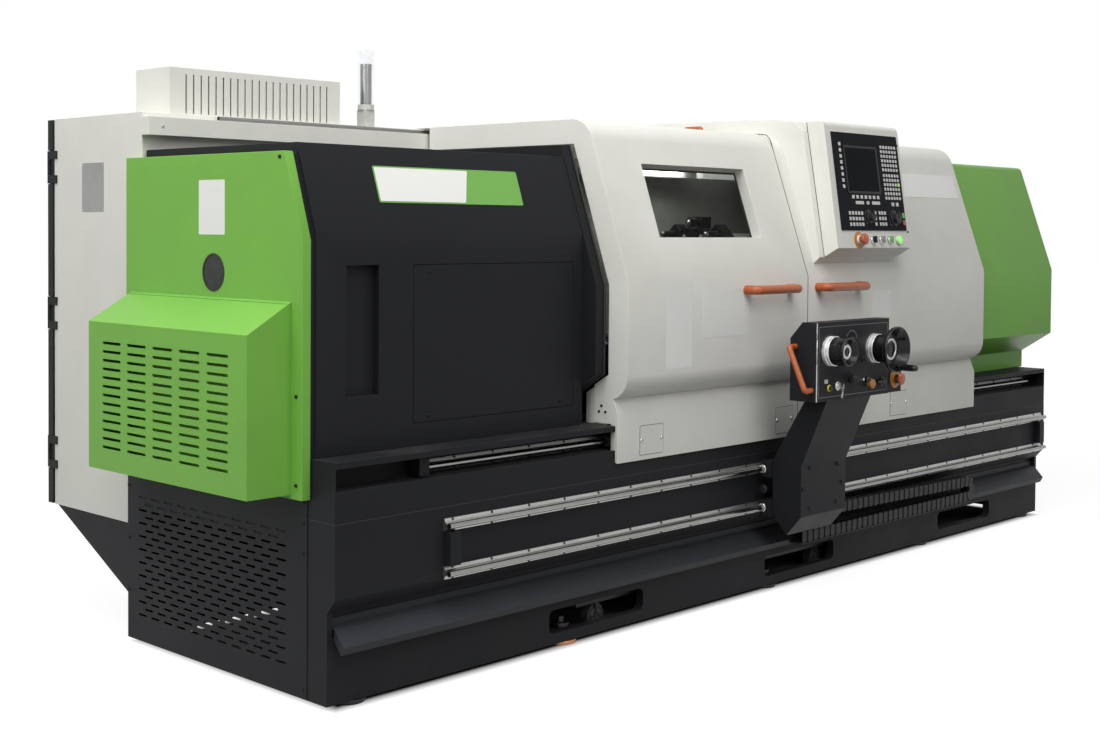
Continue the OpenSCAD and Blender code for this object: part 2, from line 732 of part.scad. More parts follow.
vent_low = [112, cab_y0 + 32.7, cabinet_top_z];
vent_high = [753, cab_y0 + 219.7, cabinet_top_z + 143];
vent_slot_w = 5;
vent_slot_pitch = 26.5;
module vent_unit() in_frame() color([0.85, 0.85, 0.83])
    difference() {
        block(vent_low, vent_high);
        block(vent_low + [sheet, sheet, -1], vent_high - [sheet, sheet, sheet]);
        for (i = [0:20], x = vent_low[0] + 55 + i * vent_slot_pitch)
            block([x, vent_low[1] - 1, vent_low[2] + 7],
                  [x + vent_slot_w, vent_low[1] + sheet + 1, vent_high[2] - 19]);
    }

lamp_at = [893, 945];
lamp_d = 55;
module lamp_base() in_frame() color([0.75, 0.76, 0.77])
    translate([lamp_at[0], lamp_at[1], cabinet_top_z]) {
        block([-21, -21, 0], [21, 21, 62]);
        translate([0, 0, 62]) cylinder(d = lamp_d, h = 18);
        translate([0, 0, 80]) cylinder(d = 38, h = 136);
    }

module lamp_lens() in_frame() color([0.9, 0.92, 0.93, 0.35])
    translate([lamp_at[0], lamp_at[1], cabinet_top_z + 80])
        difference() {
            cylinder(d = lamp_d, h = 184);
            translate([0, 0, -1]) cylinder(d = lamp_d - 6, h = 182);
        }

// --------------------------------------------------------- spindle and slides

nose_x = cover_x1 + 46;
module spindle() in_frame() color([0.7, 0.71, 0.72])
    translate([0, spindle_y, spindle_z])
        turned_x([[spindle_bore_d / 2, 30], [62, 30], [62, 40], [75, 40], [75, 120],
                  [spindle_d / 2, 120], [spindle_d / 2, cover_x1 + 6], [100, cover_x1 + 6],
                  [100, nose_x], [spindle_bore_d / 2, nose_x]]);

chuck_x = nose_x + chuck_l;      // the chuck's front face
module chuck_body() in_frame() color([0.6, 0.61, 0.62])
    translate([0, spindle_y, spindle_z])
        difference() {
            turned_x([[spindle_bore_d / 2, nose_x], [chuck_d / 2, nose_x],
                      [chuck_d / 2, chuck_x - 6], [chuck_d / 2 - 6, chuck_x],
                      [spindle_bore_d / 2, chuck_x]]);
            for (i = [0:2])
                rotate([120 * i, 0, 0])
                    block([chuck_x - 28, -jaw_w / 2 - slide_gap, 0],
                          [chuck_x + 1, jaw_w / 2 + slide_gap, chuck_d]);
        }

module chuck_jaw(i)
    translate([0, spindle_y, spindle_z]) rotate([120 * i, 0, 0]) {
        block([chuck_x - 28 + slide_gap, -jaw_w / 2, 52], [chuck_x, jaw_w / 2, 138]);
        block([chuck_x, -jaw_w / 2, 52], [chuck_x + 30, jaw_w / 2, 96]);
        block([chuck_x, -jaw_w / 2, 96], [chuck_x + 56, jaw_w / 2, 138]);
    }
module chuck_jaw_1() in_frame() color([0.5, 0.51, 0.52]) chuck_jaw(0);
module chuck_jaw_2() in_frame() color([0.5, 0.51, 0.52]) chuck_jaw(1);
module chuck_jaw_3() in_frame() color([0.5, 0.51, 0.52]) chuck_jaw(2);

saddle_x = [2300, 2640];
saddle_top = ways_z + 62;
// V of the front way, seen from above, with its sliding clearance
function way_v(g) =
    [[ways_y + way_w * 0.3 - g, ways_z + g], [ways_y + way_w / 2, ways_z + 14 + 1.2 * g],
     [ways_y + way_w * 0.7 + g, ways_z + g]];
module way_shoe(x0, x1, y0, y1, z1)
    along_x(x0, x1)
        polygon(concat([[y0, ways_z + slide_gap]], way_v(slide_gap),
                       [[y1, ways_z + slide_gap], [y1, z1], [y0, z1]]));

dove_w = 150;
module dovetail(grow)
    polygon([[-dove_w / 2 + 12 - grow, 0], [dove_w / 2 - 12 + grow, 0],
             [dove_w / 2 + grow, 24 + grow], [-dove_w / 2 - grow, 24 + grow]]);
module saddle() in_frame() color([0.45, 0.47, 0.48])
    union() {
        way_shoe(saddle_x[0], saddle_x[1], ways_y - 30, ways_y + ways_w + 20, saddle_top);
        block([saddle_x[0], ways_y - 30, 690], [saddle_x[1], ways_y - slide_gap, ways_z + slide_gap]);
        translate([(saddle_x[0] + saddle_x[1]) / 2, 0, saddle_top])
            along_y(ways_y - 30, ways_y + ways_w + 20) dovetail(0);
    }

turret_at = [saddle_x[0] + 16, spindle_y + 136]; // left face of the turret, disc axis
turret_r = 140;
module cross_slide() in_frame() color([0.5, 0.52, 0.53])
    difference() {
        union() {
            block([turret_at[0], ways_y + 66, saddle_top + slide_gap],
                  [saddle_x[1] - 16, turret_at[1] + 200, saddle_top + 50]);
            along_x(turret_at[0] + seat, saddle_x[1] - 50)
                polygon(concat([[turret_at[1] - 100, saddle_top + 50],
                                [turret_at[1] + 120, saddle_top + 50]],
                               arc([turret_at[1], spindle_z], 110, 0, 180, 12)));
        }
        translate([(saddle_x[0] + saddle_x[1]) / 2, 0, saddle_top])
            along_y(ways_y + 65, turret_at[1] + 201) dovetail(slide_gap);
        translate([0, turret_at[1], spindle_z])
            bar_x(90 + 2 * run_gap, turret_at[0] - 1, turret_at[0] + 120);
    }

module turret_disc() in_frame() color([0.08, 0.08, 0.09])
    translate([turret_at[0], turret_at[1], spindle_z])
        union() {
            rotate([0, -90, 0]) rotate([0, 0, 22.5])
                cylinder(r = turret_r, h = 90, $fn = 8);
            bar_x(90, -1, 110);
            bar_x(70, -102, -89);
            for (i = [0:7])
                rotate([45 * i, 0, 0]) {
                    block([-78, -32, turret_r - 14], [-18, 32, turret_r + 34]);
                    translate([0, 0, turret_r + 10])
                        bar_x(i % 2 == 0 ? 40 : 26, i % 2 == 0 ? -110 : -140, -77);
                }
        }

tail_x = [3150, 3520];
module tailstock() in_frame() color([0.45, 0.47, 0.48])
    difference() {
        union() {
            way_shoe(tail_x[0] - 20, tail_x[1] + 20, ways_y - 6, ways_y + ways_w + 6, ways_z + 60);
            along_x(tail_x[0], tail_x[1])
                polygon(concat([[ways_y + 40, ways_z + 60], [ways_y + ways_w - 40, ways_z + 60]],
                               [[spindle_y + 100, spindle_z - 60]],
                               arc([spindle_y, spindle_z], 95, 0, 180, 12),
                               [[spindle_y - 100, spindle_z - 60]]));
        }
        translate([0, spindle_y, spindle_z])
            bar_x(100 + 2 * run_gap, tail_x[0] - 1, tail_x[1] - 20);
    }

module quill() in_frame() color([0.7, 0.71, 0.72])
    translate([0, spindle_y, spindle_z])
        turned_x([[0, tail_x[0] - 75], [22, tail_x[0] - 37], [22, tail_x[0] - 20],
                  [50, tail_x[0] - 20], [50, tail_x[1] - 40], [0, tail_x[1] - 40]]);

// ----------------------------------------------------------------- control pod

pod_x = 2092;
pod_foot = [-146, 1163];         // lower front edge of the pod in (Y, Z)
pod_head = [-79, 1606];          // upper front edge before rounding
pod_back = [[-9, 1603], [-90, 1131]];
pod_u = unit(pod_head - pod_foot);
function pod_outline() =
    concat([pod_foot, pod_back[1], pod_back[0]],
           bend(pod_back[0], pod_head, pod_foot, 20));
module pod_housing() in_frame() color([0.9, 0.9, 0.88])
    union() {
        sheet_box(pod_outline(), pod_x, pod_x + pod_w);
        on_pod() {
            translate([estop_u, 0, button_v]) collar(stem_r, 8, 9);
            translate([start_u, 0, button_v]) collar(start_r, 4, 8);
        }
    }

// The neck lies just behind the pod, rises over the roof and comes down on it
function neck_path() = concat(
    [[-64, 1108], [-90 + seat, 1131]],
    bend([-90 + seat, 1131], [-14 + seat, 1574], [34, 1606], 20),
    bend([-14 + seat, 1574], [34, 1606], [127, 1616], 40),
    [[127, 1616], [724, 1622], [760, roof_z]]);
neck_x = [pod_x - 27, pod_x + pod_w - 9];
module pod_neck() in_frame() color([0.9, 0.9, 0.88])
    difference() {
        along_x(neck_x[0], neck_x[1])
            difference() {
                polygon(backwards(concat(neck_path(), [[400, 1400], [60, 1400]])));
                polygon(door_outline());
            }
        along_x(neck_x[0] + sheet, neck_x[1] - sheet)
            difference() {
                polygon(inset(backwards(concat(neck_path(), [[400, 1400], [60, 1400]])), sheet));
                polygon(beside_door(sheet));
            }
    }
function beside_door(t) = concat(backwards(beside(door_path(), t)), [[roof_back, 514]]);

// Places children on the pod's face: X along it, z up it, -y outwards
pod_a = atan2(pod_u[0], pod_u[1]);
module on_pod() translate([pod_x, pod_foot[0], pod_foot[1]]) rotate([-pod_a, 0, 0]) children();

panel_at = [34, 63];
panel_h = 348;
module pod_panel() in_frame() color([0.06, 0.06, 0.07])
    on_pod()
        difference() {
            block([panel_at[0], -panel_t, panel_at[1]],
                  [panel_at[0] + panel_w, -slide_gap / 10, panel_at[1] + panel_h]);
            // sunk screen
            block([panel_at[0] + 68, -panel_t - 1, panel_at[1] + 137],
                  [panel_at[0] + 272, -panel_t + 1.5, panel_at[1] + 297]);
        }

// A block of keys: columns, rows, pitch and size of one key
module keys(x, z, cols, rows, px, pz, w, h)
    for (i = [0:cols - 1], j = [0:rows - 1])
        block([x + i * px, -panel_t - 2, z + j * pz],
              [x + i * px + w, -panel_t, z + j * pz + h]);
module panel_keys() in_frame() color([0.85, 0.86, 0.84])
    on_pod() translate([panel_at[0], 0, panel_at[1]]) {
        keys(34, 148, 1, 8, 1, 21.5, 16, 14);
        keys(304, 112, 6, 6, 18.6, 16.6, 14, 12);
        keys(304, 216, 6, 6, 18.6, 16.6, 14, 12);
        keys(84, 112, 7, 1, 27, 1, 18, 14);
        keys(100, 92, 1, 1, 1, 1, 62, 13);
        keys(174, 92, 1, 1, 1, 1, 20, 13);
        keys(206, 92, 1, 1, 1, 1, 62, 13);
        keys(340, 88, 2, 1, 30, 1, 20, 15);
        keys(52, 14, 5, 3, 19.5, 20, 15, 14);
        keys(216, 16, 1, 3, 1, 20, 15, 14);
        keys(246, 16, 3, 3, 18, 20, 14, 14);
    }

module pod_knob(u, v, d)
    on_pod() translate([panel_at[0] + u, -panel_t - seat, panel_at[1] + v])
        turned_out([[0, 0], [d / 2, 0], [d / 2, 6], [d / 2 - 5, 8], [d / 2 - 6, 24], [0, 24]]);
module pod_knob_left() in_frame() color([0.1, 0.1, 0.1]) pod_knob(179, 46, 40);
module pod_knob_right() in_frame() color([0.1, 0.1, 0.1]) pod_knob(345, 42, 50);

// A press button slides in a fixed collar, its axis at the origin
stem_r = 9;                      // stem of a mushroom button
press = 6;                       // how far an emergency stop goes in
start_r = 14;
start_press = 4;
module collar(r, wall, h) turned_out([[r + seat, 0], [r + wall, 0], [r + wall, h], [r + seat, h]]);
module mushroom(d)
    turned_out([[0, press + seat], [stem_r, press + seat], [stem_r, 16], [d / 2 - 3, 18],
                [d / 2, 22], [d / 2, 28], [d / 2 - 5, 33], [0, 34]]);
button_v = 29;                   // height of the button row up the pod's face
estop_u = 138;
start_u = 397;
module pod_estop() in_frame() color([0.8, 0.15, 0.1])
    on_pod() translate([estop_u, 0, button_v]) mushroom(estop_d);
module pod_selector() in_frame() color([0.1, 0.1, 0.1])
    on_pod() translate([225, 0, button_v])
        union() {
            turned_out([[0, seat], [14, seat], [14, 8], [0, 8]]);
            block([-4, -20, -13], [4, -7, 13]);
        }
module pod_key_switch() in_frame() color([0.7, 0.7, 0.72])
    on_pod() translate([280, 0, button_v])
        union() {
            turned_out([[0, seat], [14, seat], [14, 8], [0, 8]]);
            block([-1.5, -30, -9], [1.5, -7, 9]);
        }
module pod_start_button() in_frame() color([0.2, 0.8, 0.3])
    on_pod() translate([start_u, 0, button_v])
        turned_out([[0, start_press + seat], [start_r, start_press + seat], [start_r, 12],
                    [0, 12]]);

// ----------------------------------------------------------------- hand console

console_x = 1727;
console_z = 670;
arm_x = 1802;
arm_back = -90;
module console_box() in_frame() color([0.18, 0.19, 0.21])
    union() {
        sheet_box([[console_y, console_z], [console_y + console_t, console_z],
                   [console_y + console_t, console_z + console_h - 53],
                   [console_y + console_t - 47, console_z + console_h],
                   [console_y, console_z + console_h]],
                  console_x, console_x + console_w);
        // side box of the emergency stop
        block([console_x + console_w, stop_at[1], console_z],
              [console_x + console_w + 92, console_y + 60, console_z + 78]);
        translate(stop_at) collar(stem_r, 8, 9);
        // cup of the joystick
        translate([stick_at[0], console_y, stick_at[1]]) collar(ball_r, 7, ball_out);
    }

module arm_block(x, z)
    difference() {
        block([x, arm_back, z - 27], [x + 60, console_rail_y + 9, z + 27]);
        translate([0, console_rail_y, z])
            bar_x(shaft_d + 2 * run_gap, x - 1, x + 61);
        block([x - 1, console_rail_y, z - 6], [x + 61, console_rail_y + 10, z + 6]);
    }
module console_arm() in_frame() color([0.18, 0.19, 0.21])
    union() {
        sheet_box([[-147, 208], [arm_back, 275], [arm_back, 455],
                   [-218, console_z], [-300, console_z], [-204, 445], [-204, 275]],
                  arm_x, arm_x + arm_w, 5);
        for (x = [arm_x - 12, arm_x + arm_w - 48], z = [rail_lo_z, rail_hi_z])
            arm_block(x, z);
    }

module grab_handle() in_frame() color([0.85, 0.36, 0.12]) {
    a = [-225, 848];
    b = [-294, 706];
    u = unit(a - b);
    for (p = [a - 16 * u, b + 16 * u])
        translate([console_x - 36, p[0], p[1]]) bar_x(14, 4, 36);
    translate([console_x - 36, b[0], b[1]])
        rotate([-atan2(u[0], u[1]), 0, 0]) cylinder(d = 22, h = norm(a - b));
}

// Handwheel: graduated collar, dished rim of radius r standing out by out, and
// at the bottom of its bowl a hub with its ring
module handwheel(r, out, hub, bowl, ring)
    turned_out([[0, 0], [collar_d / 2, 0], [collar_d / 2, 26], [collar_d / 2 - 4, 26],
                [collar_d / 2 - 4, out * 0.6], [r - 3, out - 16], [r, out - 10], [r, out],
                [r - 6, out], [bowl, hub], [ring, hub], [ring, hub + 4], [0, hub + 4]]);
wheel_left = [1805, 834];
wheel_right = [2066, 830];
module handwheel_left() in_frame() color([0.1, 0.1, 0.11])
    translate([wheel_left[0], console_y - seat, wheel_left[1]])
        handwheel(46.5, 80, 63, 32, 24.5);
grip_at = [18, -60];
module handwheel_right() in_frame() color([0.1, 0.1, 0.11])
    translate([wheel_right[0], console_y - seat, wheel_right[1]])
        union() {
            handwheel(77, wheel_out, 66, 50, 37);
            // lug and pin of the crank grip
            intersection() {
                translate([grip_at[0], 0, grip_at[1]]) bar_y(24, -wheel_out, 0);
                turned_out([[0, 59], [44, 59], [74, wheel_out - 16], [74, wheel_out],
                            [0, wheel_out]]);
            }
            translate([grip_at[0], 0, grip_at[1]]) bar_y(8, -wheel_out - 48, -wheel_out + 1);
        }
module crank_grip() in_frame() color([0.08, 0.08, 0.08])
    translate([wheel_right[0] + grip_at[0], console_y - seat, wheel_right[1] + grip_at[1]])
        difference() {
            turned_out([[0, wheel_out + seat], [9, wheel_out + seat], [11, wheel_out + 12],
                        [11, grip_out - 12], [9, grip_out - 2], [7, grip_out], [0, grip_out]]);
            bar_y(8 + 2 * run_gap, -wheel_out - 48 - seat, -wheel_out);
        }

stick_at = [1929, 737];
ball_r = 10;                     // ball of the joystick, in its cup
ball_out = 14;                   // how far out it turns
stop_at = [2217, console_y + 6, 716];
module joystick() in_frame() color([0.12, 0.12, 0.13])
    translate([stick_at[0], console_y, stick_at[1]])
        union() {
            translate([0, -ball_out, 0]) sphere(ball_r);
            bar_y(10, -62, -ball_out);
            translate([0, -68, 0]) sphere(d = 22);
        }

module console_estop() in_frame() color([0.8, 0.2, 0.1])
    translate(stop_at) mushroom(estop_d);

chain_hi_z = rail_lo_z - 27 - seat; // top of the upper run, under the bearing block
module drag_chain() in_frame() color([0.1, 0.1, 0.11])
    along_y(chain_y[0], chain_y[1])
        union() {
            translate([chain_x[0], chain_lo_z]) square([chain_x[1] - chain_x[0], chain_h]);
            polygon([[chain_x[0] + 20, chain_hi_z - chain_h],
                     [chain_x[1], chain_lo_z + 2 * chain_r - chain_h],
                     [chain_x[1], chain_lo_z + 2 * chain_r], [chain_x[0] + 20, chain_hi_z]]);
            intersection() {
                translate([chain_x[1], chain_lo_z + chain_r])
                    difference() {
                        circle(chain_r);
                        circle(chain_r - chain_h);
                    }
                translate([chain_x[1], chain_lo_z]) square([chain_r, 2 * chain_r]);
            }
        }

// ----------------------------------------------------------------- coolant tank

tank_x = [1000, 2400];
tank_y = [60, base_d - 6];
module coolant_tank() in_frame() color([0.16, 0.17, 0.18])
    union() {
        difference() {
            block([tank_x[0], tank_y[0], 70], [tank_x[1], tank_y[1], 190]);
            block([tank_x[0] + 4, tank_y[0] + 4, 74], [tank_x[1] - 4, tank_y[1] - 4, 191]);
        }
        for (x = [tank_x[0] + 100, tank_x[1] - 100], y = [tank_y[0] + 26, tank_y[1] - 40])
            translate([x, y, 0]) {
                translate([0, 0, -foot_t + 38 + 1]) bar_y(76, -13, 13);
                block([-6, -20, 22], [6, -15, 70]);
                block([-6, 15, 22], [6, 20, 70]);
                translate([0, 0, -foot_t + 39]) bar_y(12, -18, 18);
            }
    }

base_frame();
end_grille();
bed_casting();
drip_tray();
levelling_feet();
door_rail();
console_rails();
rail_stops();
headstock_casting();
headstock_cover();
access_panel();
end_cover();
vent_box();
end_frame();
front_sill();
guide_beam();
rear_guard();
tail_cover();
electrical_cabinet();
cabinet_bracket();
vent_unit();
lamp_base();
lamp_lens();
spindle();
chuck_body();
chuck_jaw_1();
chuck_jaw_2();
chuck_jaw_3();
saddle();
cross_slide();
turret_disc();
tailstock();
quill();
left_door();
left_window();
left_handle();
right_door();
right_handle();
pod_neck();
pod_housing();
pod_panel();
panel_keys();
pod_estop();
pod_selector();
pod_key_switch();
pod_start_button();
pod_knob_left();
pod_knob_right();
console_arm();
console_box();
grab_handle();
handwheel_left();
handwheel_right();
crank_grip();
joystick();
console_estop();
drag_chain();
cabinet_door_left();
cabinet_door_right();
coolant_tank();
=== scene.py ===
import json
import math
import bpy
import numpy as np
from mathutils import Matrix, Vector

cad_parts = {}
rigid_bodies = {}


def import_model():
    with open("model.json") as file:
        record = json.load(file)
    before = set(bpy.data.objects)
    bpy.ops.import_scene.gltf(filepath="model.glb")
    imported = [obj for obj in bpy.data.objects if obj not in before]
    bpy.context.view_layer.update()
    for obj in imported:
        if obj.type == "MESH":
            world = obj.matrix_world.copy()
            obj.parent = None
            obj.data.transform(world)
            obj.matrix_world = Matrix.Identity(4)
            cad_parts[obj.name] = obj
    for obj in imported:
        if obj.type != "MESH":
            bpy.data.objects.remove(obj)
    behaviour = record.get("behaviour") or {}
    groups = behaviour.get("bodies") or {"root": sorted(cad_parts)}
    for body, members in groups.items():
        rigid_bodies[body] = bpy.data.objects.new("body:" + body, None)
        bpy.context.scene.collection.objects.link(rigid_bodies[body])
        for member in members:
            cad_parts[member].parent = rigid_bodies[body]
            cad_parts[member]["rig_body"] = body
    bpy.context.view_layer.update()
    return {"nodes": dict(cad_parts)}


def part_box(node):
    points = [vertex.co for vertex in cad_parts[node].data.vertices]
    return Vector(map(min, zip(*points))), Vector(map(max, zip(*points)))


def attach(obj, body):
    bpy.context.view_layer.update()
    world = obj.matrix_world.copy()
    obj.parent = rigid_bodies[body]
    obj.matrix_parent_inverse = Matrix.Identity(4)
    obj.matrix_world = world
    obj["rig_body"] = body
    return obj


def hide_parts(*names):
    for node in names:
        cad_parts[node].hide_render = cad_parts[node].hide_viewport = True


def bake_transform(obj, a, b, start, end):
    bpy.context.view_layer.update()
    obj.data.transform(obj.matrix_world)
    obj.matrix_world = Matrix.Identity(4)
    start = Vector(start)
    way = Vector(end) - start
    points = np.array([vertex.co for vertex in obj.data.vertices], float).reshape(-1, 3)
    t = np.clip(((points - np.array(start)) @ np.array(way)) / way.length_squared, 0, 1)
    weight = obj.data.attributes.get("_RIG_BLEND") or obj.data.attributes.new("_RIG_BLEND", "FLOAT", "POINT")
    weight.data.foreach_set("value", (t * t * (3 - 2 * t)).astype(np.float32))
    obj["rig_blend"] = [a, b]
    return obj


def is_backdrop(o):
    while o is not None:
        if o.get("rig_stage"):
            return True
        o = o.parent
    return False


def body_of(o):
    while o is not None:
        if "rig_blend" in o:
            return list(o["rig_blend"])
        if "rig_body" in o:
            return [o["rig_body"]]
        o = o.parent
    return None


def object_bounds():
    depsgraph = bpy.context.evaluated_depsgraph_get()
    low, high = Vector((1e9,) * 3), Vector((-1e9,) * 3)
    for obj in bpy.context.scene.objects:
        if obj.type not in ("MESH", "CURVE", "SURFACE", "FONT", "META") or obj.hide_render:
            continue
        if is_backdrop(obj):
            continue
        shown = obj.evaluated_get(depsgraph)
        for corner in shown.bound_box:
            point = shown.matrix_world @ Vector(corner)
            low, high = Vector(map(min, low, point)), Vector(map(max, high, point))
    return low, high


bl_info = {
    "name": "Engine Lathe Dresser",
    "version": (1, 0, 0),
    "blender": (4, 5, 0),
    "location": "View3D > Sidebar > Lathe",
    "description": "Paints the engine lathe's frame and adds its guides, controls, plates and fittings",
    "category": "Object",
}

from contextlib import contextmanager

import bmesh
import bpy
from mathutils import Matrix, Vector

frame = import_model()
NODES = frame["nodes"]


def corners(node):
    """The low and the high corner of a CAD node."""
    return [Vector(v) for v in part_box(node)]


# The base's left front lower corner, from which the machine's own measures
# are counted in millimetres: X to the right, Y back from the plinth's front
# plane, Z up from the underside of the base.
CORNER = corners("base_frame")[0]
OVERHANG = 32.0
TURN = 0.149540  # sine of the control panel's lean
LEAN = math.atan(0.3478)  # slope of the doors
COVER_LEAN = 82 / 233  # slope of the headstock cover, as its run over its rise
SPINDLE_Z = 1098  # height of the spindle's axis
MERGE = 2e-5  # corners of a CAD node that are nearer than this are one, in metres
FLAT = math.radians(0.6)  # faces of a CAD node that turn by less than this are one
X, Y, Z = Vector((1, 0, 0)), Vector((0, 1, 0)), Vector((0, 0, 1))


def at(x, y, z):
    """A place in the frame, in metres, from the machine's measures in millimetres."""
    return CORNER + Vector((x, y + OVERHANG, z)) / 1000


def face(origin, along=X, up=Z):
    """Frame of a surface: local X runs along it, Z up it and -Y out of it."""
    along, up = along.normalized(), up.normalized()
    m = Matrix((along, up.cross(along), up)).transposed().to_4x4()
    m.translation = origin
    return m


def moved(m, x, y, z):
    """Frame m moved along its own axes, in millimetres."""
    return m @ Matrix.Translation((x / 1000, y / 1000, z / 1000))


def front(x, y, z):
    return face(at(x, y, z))


def left_side(x, y, z):
    """A surface seen from the headstock end; its local X runs to the front."""
    return face(at(x, y, z), -Y, Z)


def top_side(x, y, z):
    return face(at(x, y, z), X, Y)


def door_slope(x, v, out=0.0):
    """On the doors' sloping face, v millimetres above its fold."""
    up = Vector((0, math.sin(LEAN), math.cos(LEAN)))
    return moved(face(at(x, -79, 1066), X, up), 0, -out, v)


def pod_face(u, v, out=0.0):
    """On the control pod's face, u to the right and v up, in millimetres."""
    up = Vector((0, TURN, math.sqrt(1 - TURN**2)))
    low = corners("pod_housing")[0]
    m = face(Vector((low.x, at(0, -146, 0).y, at(0, 0, 1163).z)), X, up)
    return moved(m, u, -out, v)


# ------------------------------------------------------------- modelling tools


def rest():
    """Leaves edit mode and deselects everything, as each new piece needs."""
    if bpy.context.object and bpy.context.object.mode != "OBJECT":
        bpy.ops.object.mode_set(mode="OBJECT")
    bpy.ops.object.select_all(action="DESELECT")


def only(o):
    rest()
    o.hide_viewport = False
    bpy.context.view_layer.objects.active = o
    o.select_set(True)


@contextmanager
def editing(o, pick=None):
    """Edit mode with all of a piece selected, or with nothing selected and a kind to pick."""
    only(o)
    bpy.ops.object.mode_set(mode="EDIT")
    if pick:
        bpy.ops.mesh.select_mode(type=pick)
    bpy.ops.mesh.select_all(action="DESELECT" if pick else "SELECT")
    yield bmesh.from_edit_mesh(o.data)
    bpy.ops.object.mode_set(mode="OBJECT")


def settle(o):
    """Puts the object's place into its mesh."""
    only(o)
    bpy.ops.object.transform_apply(location=True, rotation=True, scale=True)
    return o


def put(o, m):
    """Moves a piece modelled at the origin to its frame m."""
    o.matrix_world = m
    bpy.context.view_layer.update()
    return settle(o)


def apply_all(o):
    only(o)
    for mod in list(o.modifiers):
        bpy.ops.object.modifier_apply(modifier=mod.name)
    return o


def smooth(o, angle=35):
    only(o)
    bpy.ops.object.shade_smooth_by_angle(angle=math.radians(angle))
    return o


def rounded(o, width, segments, angle):
    """Bevels a piece's sharp edges and smooths what is round."""
    only(o)
    mod = o.modifiers.new("edges", "BEVEL")
    mod.width, mod.segments, mod.limit_method = width / 1000, segments, "ANGLE"
    mod.angle_limit = math.radians(angle)
    smooth(apply_all(o))
    # keeps the flat faces flat beside their rounded edges
    o.modifiers.new("normals", "WEIGHTED_NORMAL").keep_sharp = True
    return apply_all(o)


def plate(w, h, t, corner=0.0, edge=0.0):
    """A plate from the origin, w along X, h up Z and t out, with round corners."""
    rest()
    w_m, h_m, t_m = w / 1000, h / 1000, t / 1000
    bpy.ops.mesh.primitive_cube_add(
        size=1, location=(w_m / 2, -t_m / 2, h_m / 2), scale=(w_m, t_m, h_m)
    )
    o = settle(bpy.context.object)
    if corner:
        with editing(o, "EDGE") as bm:
            for e in bm.edges:
                e.select = abs((e.verts[1].co - e.verts[0].co).normalized().y) > 0.99
            bmesh.update_edit_mesh(o.data)
            bpy.ops.mesh.bevel(offset=corner / 1000, segments=6)
    return rounded(o, edge, 2, 40) if edge else smooth(o)


def framed_plate(w, h, t, rim, corner, depth):
    """A plate whose face is sunk inside a raised rim."""
    o = plate(w, h, t, corner)
    with editing(o, "FACE") as bm:
        for f in bm.faces:
            f.select = f.normal.y < -0.99
        bmesh.update_edit_mesh(o.data)
        bpy.ops.mesh.inset(thickness=rim / 1000)
        bpy.ops.mesh.inset(thickness=depth / 2000, depth=-depth / 1000)
    return smooth(o)


def slanted_right(o, w, dx):
    """Moves the upper right corner of a plate of width w by dx millimetres."""
    with editing(o, "VERT") as bm:
        right, middle = (w - 8) / 1000, max(v.co.z for v in bm.verts) / 2
        for v in bm.verts:
            v.select = v.co.x > right and v.co.z > middle
        bm.select_flush_mode()
        bmesh.update_edit_mesh(o.data)
        bpy.ops.transform.translate(value=(dx / 1000, 0, 0))
    return o


def turned(points, sides=32):
    """A turned piece about local -Y; points are (radius, distance out) in mm."""
    rest()
    axis = 0.02  # radius that stands for the axis itself
    (r, y), *more = [(max(r, axis), y) for r, y in points]
    bpy.ops.mesh.primitive_circle_add(
        vertices=sides, radius=r / 1000, fill_type="NGON",
        location=(0, -y / 1000, 0), rotation=(math.pi / 2, 0, 0)
    )
    o = settle(bpy.context.object)
    with editing(o):
        for next_r, next_y in more:
            bpy.ops.mesh.extrude_region_move(
                TRANSFORM_OT_translate={"value": (0, -(next_y - y) / 1000, 0)}
            )
            k = next_r / r
            bpy.ops.transform.resize(value=(k, 1, k), center_override=(0, -next_y / 1000, 0))
            r, y = next_r, next_y
    with editing(o):
        bpy.ops.mesh.remove_doubles(threshold=1e-6)
        bpy.ops.mesh.normals_make_consistent(inside=False)
    return smooth(o, 40)


def bar(a, b, d, sides):
    """A round bar between two places in the frame."""
    rest()
    axis = b - a
    bpy.ops.mesh.primitive_cylinder_add(
        vertices=sides, radius=d / 2000, depth=axis.length, location=(a + b) / 2,
        rotation=axis.to_track_quat("Z", "Y").to_euler()
    )
    return smooth(settle(bpy.context.object))


def in_rows(o, cols, rows, step_x, step_z):
    """Repeats a piece at the origin along X and up Z."""
    for count, step in ((cols, (step_x, 0, 0)), (rows, (0, 0, step_z))):
        if count > 1:
            mod = o.modifiers.new("row", "ARRAY")
            mod.count, mod.use_relative_offset, mod.use_constant_offset = count, False, True
            mod.constant_offset_displace = [v / 1000 for v in step]
    return apply_all(o)


def joined(parts):
    rest()
    for p in parts:
        p.select_set(True)
    bpy.context.view_layer.objects.active = parts[0]
    if len(parts) > 1:
        bpy.ops.object.join()
    return bpy.context.object


def copies(o, places):
    """One object with a copy of o's mesh at every frame in places."""
    made = []
    for m in places:
        only(o)
        bpy.ops.object.duplicate()
        made.append(put(bpy.context.object, m))
    bpy.data.objects.remove(o)
    return joined(made)


def border(x0, x1, z0, z1, w, place, *sizes):
    """Four strips of width w round a field; place(x, z) is the frame of a strip's corner."""
    sides = ((x0, x1, z0, z0 + w), (x0, x1, z1 - w, z1),
             (x0, x0 + w, z0 + w, z1 - w), (x1 - w, x1, z0 + w, z1 - w))
    return joined([put(plate(b - a, d - c, *sizes), place(a, c)) for a, b, c, d in sides])


